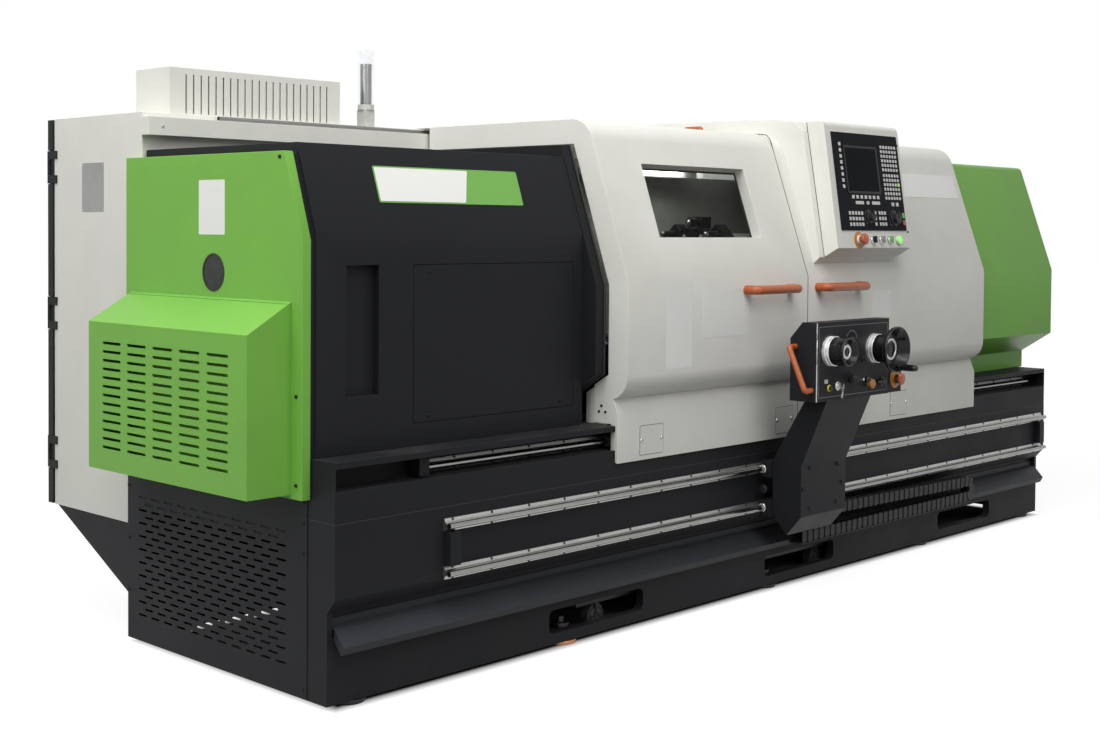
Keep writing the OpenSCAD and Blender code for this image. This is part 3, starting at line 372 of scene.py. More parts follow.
def beading(points, d, sides=4):
    """A round strip through places in the frame, made a mesh."""
    rest()
    bpy.ops.curve.primitive_bezier_curve_add()
    o = bpy.context.object
    c = o.data
    c.splines.clear()
    s = c.splines.new("POLY")
    s.points.add(len(points) - 1)
    for p, q in zip(s.points, points):
        p.co = (*q, 1)
    c.dimensions, c.fill_mode, c.use_fill_caps = "3D", "FULL", True
    c.bevel_depth, c.bevel_resolution = d / 2000, sides
    o.matrix_world = Matrix.Identity(4)
    bpy.ops.object.convert(target="MESH")
    return smooth(settle(bpy.context.object), 50)


def bent(points, r):
    """The path through points with its corners rounded by bends of radius r, in metres."""
    path, steps = [points[0]], 6
    for a, b, c in zip(points, points[1:], points[2:]):
        p, q = b + (a - b).normalized() * r, b + (c - b).normalized() * r
        for t in (k / steps for k in range(steps + 1)):
            path.append(p * (1 - t) ** 2 + b * 2 * t * (1 - t) + q * t**2)
    return path + [points[-1]]


# ------------------------------------------------------------ finished pieces


def paint_with(o, finish):
    o.data.materials.clear()
    o.data.materials.append(bpy.data.materials[finish])
    return o


def painted_where(o, finish, test):
    """Gives another finish to the faces whose middle, in the frame, passes the test."""
    o.data.materials.append(bpy.data.materials[finish])
    for p in o.data.polygons:
        if test(o.matrix_world @ p.center):
            p.material_index = len(o.data.materials) - 1


def fit(o, name, body, finish=None, node=None):
    """Names and paints a piece and lets it ride on its body, in the place of a CAD node."""
    settle(o)
    o.name = o.data.name = name
    if finish:
        paint_with(o, finish)
    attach(o, body)
    if node:
        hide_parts(node)
    rest()
    return o


def slab(name, body, finish, m, *sizes):
    """A plate at frame m."""
    fit(put(plate(*sizes), m), name, body, finish)


def spun(name, body, finish, m, points, sides=32, node=None):
    """A turned piece at frame m."""
    fit(put(turned(points, sides), m), name, body, finish, node)


def assembled(name, body, parts, node=None):
    """One piece of several parts, each given with its finish."""
    fit(joined([paint_with(o, finish) for o, finish in parts]), name, body, None, node)


def screw_head(d):
    """A button-head screw with its socket, at the origin, pointing out."""
    return turned([(d * 0.5, 0), (d * 0.5, d * 0.12), (d * 0.40, d * 0.34), (d * 0.24, d * 0.42),
                   (d * 0.22, d * 0.42), (d * 0.2, d * 0.14), (0, d * 0.14)], 14)


def screws(name, places, d, body="machine", finish="Blackened Screw"):
    fit(copies(screw_head(d), places), name, body, finish)


def dial(name, body, m, r, angles, *sizes):
    """White marks at radius r round a knob's frame m, at angles in degrees."""
    places = [moved(m @ Matrix.Rotation(math.radians(a), 4, "Y"), -sizes[0] / 2, 0, r) for a in angles]
    fit(copies(plate(*sizes), places), name, body, "Legend White")


def body_of_node(node):
    return body_of(NODES[node])[0]


def dressed(node, name, finish, edge, angle=30, segments=2):
    """A CAD node's shape with its edges broken, as folded and filed metal has them."""
    only(NODES[node])
    bpy.ops.object.duplicate()
    o = bpy.context.object
    for key in [k for k in o.keys() if k.startswith("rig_")]:
        del o[key]
    world = o.matrix_world.copy()
    o.parent = None
    o.matrix_world = world
    with editing(o):
        bpy.ops.mesh.remove_doubles(threshold=MERGE)
        bpy.ops.mesh.dissolve_limited(angle_limit=FLAT)
    rounded(o, edge, segments, angle)
    return fit(o, name, body_of_node(node), finish, node)


def finish_node(node, finish):
    """A CAD node that stays as it is, with its finish."""
    o = paint_with(NODES[node], finish)
    for p in o.data.polygons:
        p.material_index = 0


# ------------------------------------------------------------------ materials


def feed(g, socket, value):
    """Gives a socket its value, or a link from another node's output."""
    if isinstance(value, bpy.types.NodeSocket):
        g.links.new(value, socket)
    else:
        socket.default_value = value


def shader_node(g, kind, inputs, **settings):
    """The outputs of a new shader node whose inputs are given by name or number."""
    n = g.nodes.new("ShaderNode" + kind)
    for key, value in settings.items():
        setattr(n, key, value)
    for key, value in inputs.items():
        feed(g, n.inputs[key], value)
    return n.outputs


def noise(g, place, scale, detail, rough=0.5):
    inputs = {"Vector": place, "Scale": scale, "Detail": detail, "Roughness": rough}
    return shader_node(g, "TexNoise", inputs)["Fac"]


def span(g, value, a, b, low, high):
    """Maps value from a..b to low..high."""
    ends = {"From Min": a, "From Max": b, "To Min": low, "To Max": high}
    return shader_node(g, "MapRange", {"Value": value, **ends}, clamp=True)["Result"]


def math_node(g, kind, a, b):
    return shader_node(g, "Math", {0: a, 1: b}, operation=kind)[0]


def times(g, a, b):
    return math_node(g, "MULTIPLY", a, b)


def plus(g, a, b):
    return math_node(g, "ADD", a, b)


def mixed(g, factor, a, b):
    return shader_node(g, "Mix", {0: factor, 6: a, 7: b}, data_type="RGBA")[2]


def toned(g, colour, value):
    return shader_node(g, "HueSaturation", {"Color": colour, "Value": value})["Color"]


def bump(g, distance, strength, height, **more):
    inputs = {"Distance": distance, "Strength": strength, "Height": height, **more}
    return shader_node(g, "Bump", inputs)["Normal"]


def axes(g, vector):
    return shader_node(g, "SeparateXYZ", {0: vector})


def object_place(g):
    return shader_node(g, "TexCoord", {})["Object"]


def seen_ray(g):
    """1 for rays of the eye, of gloss and through glass, 0 for those that only light."""
    path = shader_node(g, "LightPath", {})
    seen = math_node(g, "MAXIMUM", path["Is Camera Ray"], path["Is Glossy Ray"])
    return math_node(g, "MAXIMUM", seen, path["Is Transmission Ray"])


SURFACE = {"Colour": "Color", "Roughness": "Float", "Normal": "Vector"}  # what each group gives


def new_group(name, **inputs):
    """A shader group with a colour and these inputs, and what a surface needs as its outputs."""
    g = bpy.data.node_groups.new(name, "ShaderNodeTree")
    for label, value in {"Colour": (0.5, 0.5, 0.5, 1), **inputs}.items():
        kind = {3: "Vector", 4: "Color"}[len(value)] if isinstance(value, tuple) else "Float"
        s = g.interface.new_socket(
            label.replace("_", " "), in_out="INPUT", socket_type="NodeSocket" + kind
        )
        s.default_value = value
    for label, kind in SURFACE.items():
        g.interface.new_socket(label, in_out="OUTPUT", socket_type="NodeSocket" + kind)
    return g, object_place(g), g.nodes.new("NodeGroupInput").outputs


def close_group(g, *results):
    out = g.nodes.new("NodeGroupOutput").inputs
    for label, result in zip(SURFACE, results):
        g.links.new(result, out[label])
    return g


def make_coat_group():
    """Sprayed paint: fine grain, waviness of the sheet and shop dust low down."""
    g, place, given = new_group(
        "Sprayed Coat", Grain_Size=900.0, Grain_Depth=0.2, Roughness=0.4, Speckle=0.1, Dust=0.15
    )
    grain = noise(g, place, given["Grain Size"], 2.0, 0.6)
    cloud = noise(g, place, 5.0, 4.0, 0.6)
    sheet = noise(g, place, 2.2, 1.0, 0.3)
    # speckle: darker and lighter dots of the grain
    level = times(g, math_node(g, "SUBTRACT", grain, 0.5), given["Speckle"])
    cloudy = span(g, cloud, 0.3, 0.7, 0.965, 1.03)
    colour = toned(g, given["Colour"], plus(g, cloudy, level))
    # dust lies on what faces up, and more of it near the floor
    normal = shader_node(g, "NewGeometry", {})["Normal"]
    up = span(g, axes(g, normal)["Z"], 0.3, 1.0, 0.0, 1.0)
    near = span(g, axes(g, place)["Z"], 0.0, 0.5, 0.5, 0.0)
    patch = span(g, cloud, 0.42, 0.7, 0.0, 1.0)
    dust = times(g, plus(g, up, near), given["Dust"])
    dust = times(g, dust, patch)
    rough = plus(g, given["Roughness"], span(g, cloud, 0.3, 0.7, -0.05, 0.06))
    fine = bump(g, 0.0004, given["Grain Depth"], grain)
    return close_group(g, mixed(g, dust, colour, (0.30, 0.28, 0.25, 1)),
                       plus(g, rough, dust), bump(g, 0.004, 0.10, sheet, Normal=fine))


def make_ground_group():
    """Ground or drawn metal: fine lines along one direction and faint stains."""
    g, place, given = new_group("Ground Metal", Lines=(4.0, 900.0, 900.0), Roughness=0.3, Depth=0.1)
    drawn = shader_node(g, "Mapping", {"Vector": place, "Scale": given["Lines"]})["Vector"]
    lines = noise(g, drawn, 1.0, 3.0, 0.6)
    stain = span(g, noise(g, place, 14.0, 4.0, 0.6), 0.35, 0.7, 1.0, 0.88)
    tone = times(g, span(g, lines, 0.3, 0.7, 0.86, 1.12), stain)
    rough = plus(g, given["Roughness"], span(g, lines, 0.3, 0.7, -0.07, 0.09))
    return close_group(g, toned(g, given["Colour"], tone), rough, bump(g, 0.0002, given["Depth"], lines))


def make_moulded_group():
    """Moulded plastic: fine spark-eroded grain and finger marks in its gloss."""
    g, place, given = new_group("Moulded Plastic", Roughness=0.4, Grain=0.1, Marks=1.0)
    grain = noise(g, place, 2200.0, 2.0, 0.6)
    marks = noise(g, place, 38.0, 4.0, 0.65)
    worn = times(g, math_node(g, "SUBTRACT", marks, 0.5), given["Marks"])
    tone = plus(g, times(g, worn, 0.3), 1.0)
    rough = plus(g, given["Roughness"], times(g, worn, 0.4))
    return close_group(g, toned(g, given["Colour"], tone), rough, bump(g, 0.0001, given["Grain"], grain))


COAT, GROUND, MOULDED = make_coat_group(), make_ground_group(), make_moulded_group()


def finish(name, group, colour, values, **sockets):
    """A material whose colour, roughness and normal come from a shared group."""
    m = bpy.data.materials.new(name)
    m.use_nodes = True
    t = m.node_tree
    shader = t.nodes["Principled BSDF"].inputs
    n = t.nodes.new("ShaderNodeGroup")
    n.node_tree = group
    m.diffuse_color = (*tuple(colour)[:3], 1.0)
    n.inputs["Colour"].default_value = m.diffuse_color
    for key, value in values.items():
        n.inputs[key].default_value = value
    for key, result in (("Base Color", "Colour"), ("Roughness", "Roughness"), ("Normal", "Normal")):
        t.links.new(n.outputs[result], shader[key])
    for key, value in sockets.items():
        shader[key.replace("_", " ")].default_value = value


def coat(name, colour, grain, depth, rough, speckle, dust, shine=0.4):
    values = {"Grain Size": grain, "Grain Depth": depth, "Roughness": rough, "Speckle": speckle, "Dust": dust}
    finish(name, COAT, colour, values, Specular_IOR_Level=shine)


def ground(name, colour, lines, rough, depth):
    finish(name, GROUND, colour, {"Lines": lines, "Roughness": rough, "Depth": depth}, Metallic=1.0)


def moulded(name, colour, rough, grain, marks=1.0, **sockets):
    finish(name, MOULDED, colour, {"Roughness": rough, "Grain": grain, "Marks": marks}, **sockets)


def clear(name, colour, rough, bends):
    """Clear glass or acrylic with faint smears in its gloss."""
    moulded(name, colour, rough, 0.0, Transmission_Weight=1.0, IOR=bends)


# ----------------------------------------------------------------- settings


def colour_prop(name, description, default):
    return bpy.props.FloatVectorProperty(
        name=name, description=description, subtype="COLOR", size=3, min=0, max=1, default=default
    )


def size_prop(name, description, default):
    return bpy.props.FloatProperty(name=name, description=description, default=default, min=0)


class LathePaintSettings(bpy.types.PropertyGroup):
    charcoal: colour_prop("Charcoal", "Paint of the bed, base and headstock", (0.0160, 0.0167, 0.0190))
    white: colour_prop("White", "Paint of the doors, pod and cabinet", (0.77, 0.765, 0.71))
    green: colour_prop("Green", "Paint of the two end covers", (0.195, 0.465, 0.075))
    orange: colour_prop("Orange", "Plastic of the handles", (0.42, 0.096, 0.022))
    copper: colour_prop("Copper", "Coppered levelling foot", (0.50, 0.245, 0.125))


class LatheFittingSettings(bpy.types.PropertyGroup):
    edge: size_prop("Broken Edge", "Width of the broken edges of sheet metal, in mm", 1.2)
    bolt_pitch: size_prop("Rail Bolt Pitch", "Distance between the bolts of a guide, in mm", 147.5)
    bolt_d: size_prop("Rail Bolt Head", "Diameter of a guide's bolt heads, in mm", 9.0)
    link_pitch: size_prop("Chain Link Pitch", "Length of one link of the drag chain, in mm", 35.0)
    tick_count: bpy.props.IntProperty(
        name="Graduations", description="Marks round a handwheel's collar", default=50, min=4, max=100
    )


def settings():
    return bpy.context.scene.lathe_paint, bpy.context.scene.lathe_fitting


# ------------------------------------------------------------------ operators


class LATHE_OT_paints(bpy.types.Operator):
    """Mixes the paints, metals and plastics"""

    bl_idname = "lathe.paints"
    bl_label = "Paints and Metals"

    def execute(self, context):
        p, _ = settings()
        # paints: colour, grain size and depth, roughness, speckle, dust, shine
        coat("Charcoal Paint", p.charcoal, 1100, 0.45, 0.52, 0.55, 0.06, 0.09)
        coat("Charcoal Sheet", p.charcoal, 1400, 0.30, 0.46, 0.35, 0.02, 0.09)
        # the charcoal made 2.4 times lighter for the drip tray: painted light on its slope
        coat("Tray Sheet Painted Light", [2.4 * c for c in p.charcoal], 1400, 0.30, 0.46, 0.35, 0.02, 0.09)
        coat("White Paint", p.white, 1500, 0.10, 0.36, 0.05, 0.03, 0.2)
        coat("Green Paint", p.green, 1300, 0.22, 0.36, 0.16, 0.02, 0.15)
        coat("Grey Casting Paint", (0.20, 0.21, 0.215), 500, 0.3, 0.45, 0.3, 0.1)
        coat("Guard Paint", (0.26, 0.265, 0.25), 800, 0.15, 0.42, 0.1, 0.2)
        coat("Tank Paint", (0.05, 0.052, 0.055), 700, 0.3, 0.5, 0.3, 0.3)
        # metals: colour, scale of the lines along each axis, roughness, depth of the lines
        ground("Extruded Aluminium", (0.42, 0.415, 0.40), (5, 500, 500), 0.36, 0.10)
        ground("Ground Shaft", (0.27, 0.27, 0.26), (3, 260, 260), 0.15, 0.02)
        ground("Turned Steel", (0.56, 0.56, 0.55), (900, 14, 14), 0.22, 0.12)
        ground("Satin Chrome", (0.50, 0.50, 0.49), (60, 60, 60), 0.26, 0.04)
        ground("Collar Silver", (0.84, 0.84, 0.83), (60, 60, 60), 0.50, 0.04)
        # lines along Z give the lamp's core stripes that stand in for the refraction of the lens round it:
        # painted light
        ground("Lamp Core", (0.30, 0.30, 0.30), (150, 150, 3), 0.35, 0.2)
        ground("Ground Way", (0.42, 0.42, 0.41), (3, 260, 260), 0.26, 0.12)
        ground("Blackened Steel", (0.035, 0.035, 0.038), (80, 80, 80), 0.38, 0.2)
        ground("Blackened Screw", (0.028, 0.028, 0.03), (300, 300, 300), 0.42, 0.1)
        ground("Zinc Screw", (0.50, 0.50, 0.47), (300, 300, 300), 0.3, 0.1)
        ground("Copper Foot", p.copper, (140, 140, 30), 0.42, 0.3)
        ground("Data Plate", (0.33, 0.33, 0.32), (700, 700, 6), 0.36, 0.1)
        ground("Tool Steel", (0.016, 0.016, 0.018), (40, 40, 40), 0.30, 0.06)
        # plastics, films and rubber: colour, roughness, depth of the grain, finger marks
        moulded("Lamp Grey", (0.55, 0.55, 0.53), 0.40, 0.1)
        moulded("Orange Plastic", p.orange, 0.36, 0.15)
        moulded("Black Plastic", (0.014, 0.014, 0.016), 0.42, 0.3, Specular_IOR_Level=0.25)
        moulded("Gloss Black", (0.008, 0.008, 0.009), 0.18, 0.05, Specular_IOR_Level=0.25)
        moulded("Panel Film", (0.013, 0.014, 0.017), 0.40, 0.12, Specular_IOR_Level=0.02)
        moulded("Key Caps", (0.62, 0.62, 0.60), 0.42, 0.1)
        moulded("Green Key", (0.12, 0.45, 0.08), 0.35, 0.1)
        moulded("Red Mushroom", (0.42, 0.085, 0.024), 0.32, 0.05, Coat_Weight=0.1)
        moulded("Amber Ring", (0.46, 0.19, 0.03), 0.38, 0.1)
        moulded("Yellow Ring", (0.62, 0.55, 0.03), 0.35, 0.1)
        moulded("Rubber Seal", (0.012, 0.012, 0.012), 0.72, 0.5)
        moulded("Label Film", (0.86, 0.86, 0.83), 0.32, 0.02, 0.1)
        moulded("Label Grey", (0.58, 0.58, 0.55), 0.32, 0.02, 0.2)
        moulded("Plate Green", (0.16, 0.42, 0.07), 0.34, 0.02, 0.2)
        moulded("Legend White", (0.62, 0.62, 0.60), 0.4, 0.02)
        moulded("Chain Plastic", (0.011, 0.011, 0.012), 0.48, 0.4, Specular_IOR_Level=0.2)
        moulded("Screen Glass", (0.006, 0.007, 0.009), 0.12, 0.0, Specular_IOR_Level=0.02)
        clear("Window Glass", (0.93, 0.96, 0.95), 0.03, 1.08)
        clear("Lamp Glass", (0.96, 0.97, 0.98), 0.05, 1.12)
        # lamps of the work light, the keys and the start lens; the work lamp's diffuser and end plate are no
        # lamps and glow as painted light from its tube
        for name, colour, strength in (
            ("Work Light", (1.0, 0.99, 0.95, 1), 40.0), ("Lamp End Painted Glow", (0.80, 0.80, 0.77, 1), 0.8),
            ("Lamp Diffuser Painted Glow", (0.80, 0.80, 0.77, 1), 0.28), ("Green Lamp", (0.25, 0.80, 0.17, 1), 0.6),
            ("Key Lamp", (0.30, 0.60, 0.16, 1), 0.3),
        ):
            moulded(name, colour, 0.35, 0.05, Emission_Color=colour, Emission_Strength=strength)
        return {"FINISHED"}


class LATHE_OT_base(bpy.types.Operator):
    """Dresses the base, the bed, the feet, the drip tray and the coolant tank"""

    bl_idname = "lathe.base"
    bl_label = "Base and Bed"

    def execute(self, context):
        dressed("base_frame", "base_welded", "Charcoal Paint", 2.0)
        dressed("bed_casting", "bed_body", "Charcoal Paint", 1.5)
        finish_node("end_grille", "Charcoal Sheet")
        # the drip tray in the lighter charcoal, as painted light on its slope
        dressed("drip_tray", "drip_tray_folded", "Tray Sheet Painted Light", 1.0)
        feet = dressed("levelling_feet", "feet_coppered", "Copper Foot", 2.0)
        # the studs and nuts above the sole, and every foot but the one at 910, take blackened steel: painted
        # shade under the base
        sole, coppered = CORNER.z + 0.002, at(910, 0, 0).x
        painted_where(feet, "Blackened Steel", lambda v: v.z > sole or abs(v.x - coppered) > 0.1)
        dressed("coolant_tank", "tank_on_castors", "Tank Paint", 1.5)
        # ground faces of the ways
        ways = [put(plate(3858 - 1062, y1 - y0, 0.25), top_side(1062, y0, 845))
                for y0, y1 in ((266, 286), (323, 342), (586, 662))]
        fit(joined(ways), "way_faces", "machine", "Ground Way")
        # screws that hold the end grille
        rows = ((98, (455, 378, 24)), (944, (455, 298, 144)))
        places = [left_side(-2, y, z) for y, heights in rows for z in heights]
        places += [left_side(-2, y, 512) for y in (98, 380, 660, 944)]
        screws("grille_screws", places, 9)
        # joint between the base and the bed
        seams = ((3900, front(0, -32, 470)), (983, left_side(0, 951, 470)))
        fit(joined([put(plate(w, 2, 0.3), m) for w, m in seams]), "bed_seam", "machine", "Rubber Seal")
        # hubs of the castors seen through the plinth
        hubs = [bar(at(x, y + s * 13, 27), at(x, y + s * 15.5, 27), 44, 28)
                for x in (1100, 2300) for y in (86, 905) for s in (-1, 1)]
        fit(joined(hubs), "castor_hubs", "coolant_tank", "Zinc Screw")
        return {"FINISHED"}


class LATHE_OT_guides(bpy.types.Operator):
    """Dresses the supported guide shafts and adds their bolts"""

    bl_idname = "lathe.guides"
    bl_label = "Guides"

    def execute(self, context):
        _, f = settings()
        finish_node("door_rail", "Extruded Aluminium")
        finish_node("console_rails", "Extruded Aluminium")
        dressed("rail_stops", "rail_bumpers", "Charcoal Sheet", 1.5)
        shaft_d, bolt_rows, last_bolt = 16.3, 26.8, 3850
        shafts, bolts = [], []
        for rail, x, y, z in (("console_rails", 397, -57, 292), ("console_rails", 397, -57, 422),
                              ("door_rail", 466, 13, 576)):
            low, high = corners(rail)
            ends = [Vector((end, *at(0, y, z).yz)) for end in (low.x - 0.001, high.x + 0.001)]
            shafts.append(bar(*ends, shaft_d, 28))
            count = int((last_bolt - x) / f.bolt_pitch) + 1
            bolts.append(put(in_rows(screw_head(f.bolt_d), count, 2, f.bolt_pitch, bolt_rows),
                             front(x, y + 20.6, z - bolt_rows / 2)))
        fit(joined(shafts), "guide_shafts", "machine", "Ground Shaft")
        fit(joined(bolts), "guide_bolts", "machine", "Blackened Screw")
        # screws in the bumper of the doors' guide
        screws("bumper_screws", [front(318, -12, z) for z in (568, 594)], 7)
        return {"FINISHED"}


class LATHE_OT_headstock(bpy.types.Operator):
    """Dresses the headstock's covers, the vent box and the end frame"""

    bl_idname = "lathe.headstock"
    bl_label = "Headstock Covers"

    def execute(self, context):
        _, f = settings()
        dressed("headstock_cover", "head_cover", "Charcoal Sheet", f.edge)
        dressed("access_panel", "head_access_panel", "Charcoal Sheet", 0.8)
        dressed("end_cover", "end_cover_sheet", "Green Paint", f.edge + 0.6)
        dressed("vent_box", "vent_box_sheet", "Green Paint", f.edge)
        dressed("end_frame", "end_frame_sheet", "Charcoal Sheet", f.edge)
        finish_node("headstock_casting", "Grey Casting Paint")
        low, high = corners("access_panel")
        screws("panel_screws", [face(Vector((x, low.y, z))) for x in (low.x + 0.055, high.x - 0.055)
                                for z in (low.z + 0.018, high.z - 0.018)], 9)
        screws("cover_screws", [left_side(-30, y, z) for y, z in ((163, 1405), (90, 789), (90, 560))], 11)
        # the bare place of the name plate, on the cover's slope
        lean = math.atan(COVER_LEAN)
        m = face(at(242.8, 62 + (1290.3 - 1211) * COVER_LEAN, 1290.3), X,
                 Vector((0, math.sin(lean), math.cos(lean))))
        w, h = 312, 99.4 / math.cos(lean)
        slab("name_plate_rim", "machine", "Plate Green", m, 545.4, h, 1.5, 5, 0.5)
        fit(put(slanted_right(plate(w, h - 9, 0.5, 2), w, 30), moved(m, 4.5, -1.5, 4.5)),
            "name_plate_field", "machine", "Label Film")
        slab("end_label", "machine", "Label Film", left_side(-30, 535, 1200.7), 124, 149, 0.4, 3)
        # rubber lip round the end frame
        path = ((95.5, 630), (95.5, 726), (1.5, 785), (1.5, 1053), (151, 1482.5), (860, 1482.5))
        fit(beading([at(1052, y, z) for y, z in path], 5.5), "end_frame_lip", "machine", "Rubber Seal")
        # collar round the bar entry, and a black disc inside it: painted shade for the dark of its bore
        entry = left_side(-30, 464, SPINDLE_Z)
        spun("bar_entry_rim", "machine", "Rubber Seal", entry,
             [(46.6, 0), (52, 0), (52, 1.6), (46.6, 1.6), (46.6, -57), (44.5, -57), (44.5, 0.5)], 48)
        spun("bar_entry_painted_shade", "machine", "Chain Plastic", entry,
             [(0, -56), (44.4, -56), (44.4, -54), (0, -54)], 48)
        return {"FINISHED"}


class LATHE_OT_cabinet(bpy.types.Operator):
    """Dresses the electrical cabinet, its vent and lamp, and the rear guide"""

    bl_idname = "lathe.cabinet"
    bl_label = "Electrical Cabinet"

    def execute(self, context):
        _, f = settings()
        case = dressed("electrical_cabinet", "cabinet_body", "White Paint", f.edge)
        left, right, back = at(-0.4, 0, 0).x, at(1200.4, 0, 0).x, corners("cabinet_door_left")[0].y
        painted_where(case, "Charcoal Sheet", lambda v: not left < v.x < right or v.y > back)
        # leaves with their turned edges, between the hinges
        for side, x in (("left", -5.8), ("right", 1199.5)):
            leaf = "cabinet_door_" + side
            dressed(leaf, "cabinet_leaf_" + side, "Charcoal Sheet", 1.5)
            edge = [put(plate(6.3, z1 - z0, 31, 0, 0.8), front(x, 1422, z0))
                    for z0, z1 in ((342, 452.5), (557.5, 892.5), (997.5, 1352.5), (1457.5, 1553))]
            fit(joined(edge), "leaf_edge_" + side, leaf, "Charcoal Sheet")
        dressed("cabinet_bracket", "cabinet_foot", "Charcoal Sheet", 1.5)
        dressed("vent_unit", "vent_unit_sheet", "White Paint", f.edge)
        finish_node("rear_guard", "Guard Paint")
        dressed("guide_beam", "roof_beam", "White Paint", 1.0)
        stem = dressed("lamp_base", "lamp_stem", "Lamp Grey", 0.6)
        # the stem above its collar is the lamp's core, with its stripes as painted light for the lens's
        # refraction
        collar = corners("lamp_base")[0].z + 0.0805
        painted_where(stem, "Lamp Core", lambda v: v.z > collar)
        finish_node("lamp_lens", "Lamp Glass")
        # silver rail on the beam
        high = corners("guide_beam")[1]
        y, z = at(0, 855, 0).y, high.z - 0.007
        fit(bar(Vector((at(248, 0, 0).x, y, z)), Vector((high.x - 0.01, y, z)), 14.2, 24),
            "roof_rail", "machine", "Ground Shaft")
        # bare data plate with its rivets
        slab("data_plate", "machine", "Data Plate", left_side(0, 1219, 1264), 128, 149, 0.8, 2, 0.3)
        screws("data_rivets", [left_side(-0.8, y, z) for y in (1097, 1213) for z in (1270, 1407)], 4,
               finish="Zinc Screw")
        screws("roof_beam_bolt", [front(40, 830, 1514)], 9, finish="Zinc Screw")
        return {"FINISHED"}


class LATHE_OT_doors(bpy.types.Operator):
    """Dresses the two sliding doors, their window, handles and plates"""

    bl_idname = "lathe.doors"
    bl_label = "Sliding Doors"

    def grip(self, side, x0, x1):
        """A bar handle whose ends turn back to the door; the left one with the pull on the roof."""
        r, foot, out, z = 15, -80, -128, 1028
        bow = [at(x, y, z) for x, y in ((x0 + r, foot), (x0 + r, out), (x1 - r, out), (x1 - r, foot))]
        parts = [beading(bent(bow, 0.019), 2 * r, 8)]
        if side == "left":
            pull = [at(1984, y, z) for y, z in ((370, 1562), (370, 1591), (450, 1591), (450, 1562))]
            parts.append(beading(bent(pull, 0.012), 14))
        fit(joined(parts), side + "_door_handle", side + "_door", "Orange Plastic", side + "_handle")

    def execute(self, context):
        skin = dressed("left_door", "left_door_skin", "White Paint", 1.6, 32)
        # the block of the door's foot, inside the skirt's free end, takes the black of the seal: painted
        # shade for the dark inside the skirt
        low, high = at(1071, -35, 555), at(1140, 50, 597)
        painted_where(skin, "Rubber Seal", lambda v: all(low[i] < v[i] < high[i] for i in range(3)))
        dressed("right_door", "right_door_skin", "White Paint", 1.6, 32)
        dressed("front_sill", "sill_sheet", "White Paint", 1.2)
        dressed("tail_cover", "tail_cover_skin", "Green Paint", 2.0, 32)
        self.grip("left", 1640, 1908)
        self.grip("right", 2053, 2331)
        finish_node("left_window", "Window Glass")
        # bare label places
        for name, body, x, z, w, h in (("left_label_tall", "left_door", 1248.8, 792.7, 125.9, 273.7),
                                       ("left_label_wide", "left_door", 1428.2, 880, 244.9, 151.7),
                                       ("right_label", "right_door", 2425.7, 910.7, 127.9, 95.2)):
            slab(name, body, "Label Film", front(x, -79, z), w, h, 0.4, 3)
        rise = math.cos(LEAN)
        slab("right_name_plate", "right_door", "Label Film", door_slope(2785.6, (1355.9 - 1066) / rise),
             436.2, 91.2 / rise, 1.2, 4, 0.4)
        # access plates on the skirts
        for name, body, x0, x1 in (("left_skirt_plate_a", "left_door", 1171, 1282),
                                   ("left_skirt_plate_b", "left_door", 1883, 1982),
                                   ("right_skirt_plate", "right_door", 2617, 2733)):
            w, y = x1 - x0, -42
            slab(name, body, "White Paint", front(x0, y, 530), w, 89, 1.5, 4, 0.5)
            slab(name + "_gasket", body, "Rubber Seal", front(x0 - 1.5, y, 528.5), w + 3, 92, 0.5, 5)
            screws(name + "_screws", [front(x, y - 1.5, 577) for x in (x0 + 4, x1 - 10)], 13, body,
                   "Satin Chrome")
        # seal in the joint of the two doors, a millimetre behind their faces
        edge = [(-41, 516), (-41, 658)]
        edge += [(-4 + 74 * math.cos(a), 781 + 74 * math.sin(a))
                 for a in (math.radians(256 - 9.5 * i) for i in range(9))]
        edge += [(-78, 1066), (88, 1543), (104, 1558), (130, 1562), (880, 1562)]
        fit(beading([at(2012, y, z) for y, z in edge], 2.8), "joint_seal", "left_door", "Rubber Seal")
        # return of the skirt at the free end, and three screws above it
        slab("skirt_return", "left_door", "White Paint", left_side(1070.4, -14, 516), 26, 124, 3, 0.5)
        screws("door_end_screws", [left_side(1067, y, z) for y, z in ((34, 667), (8, 667), (24, 685))],
               9, "left_door")
        # frame of the window's glass
        rim = border(1269, 1802, 141, 385, 6, lambda u, v: door_slope(u, v, -39.8), 3, 0.5)
        fit(rim, "window_gasket", "left_door", "Rubber Seal")
        # lamp over the window, on the rear wall; only its tube is a lamp, and its diffuser and end plate glow
        # faintly as painted light from the tube
        slab("work_lamp_diffuser", "machine", "Lamp Diffuser Painted Glow", front(1990, 814, 1431), 910, 64, 2, 3, 0.5)
        tube = put(plate(406, 9, 34, 2), front(2000, 812, 1454))
        end = put(plate(132, 29, 3, 1), front(2414, 811, 1433))
        assembled("work_lamp_tube", "machine", ((tube, "Work Light"), (end, "Lamp End Painted Glow")))
        return {"FINISHED"}


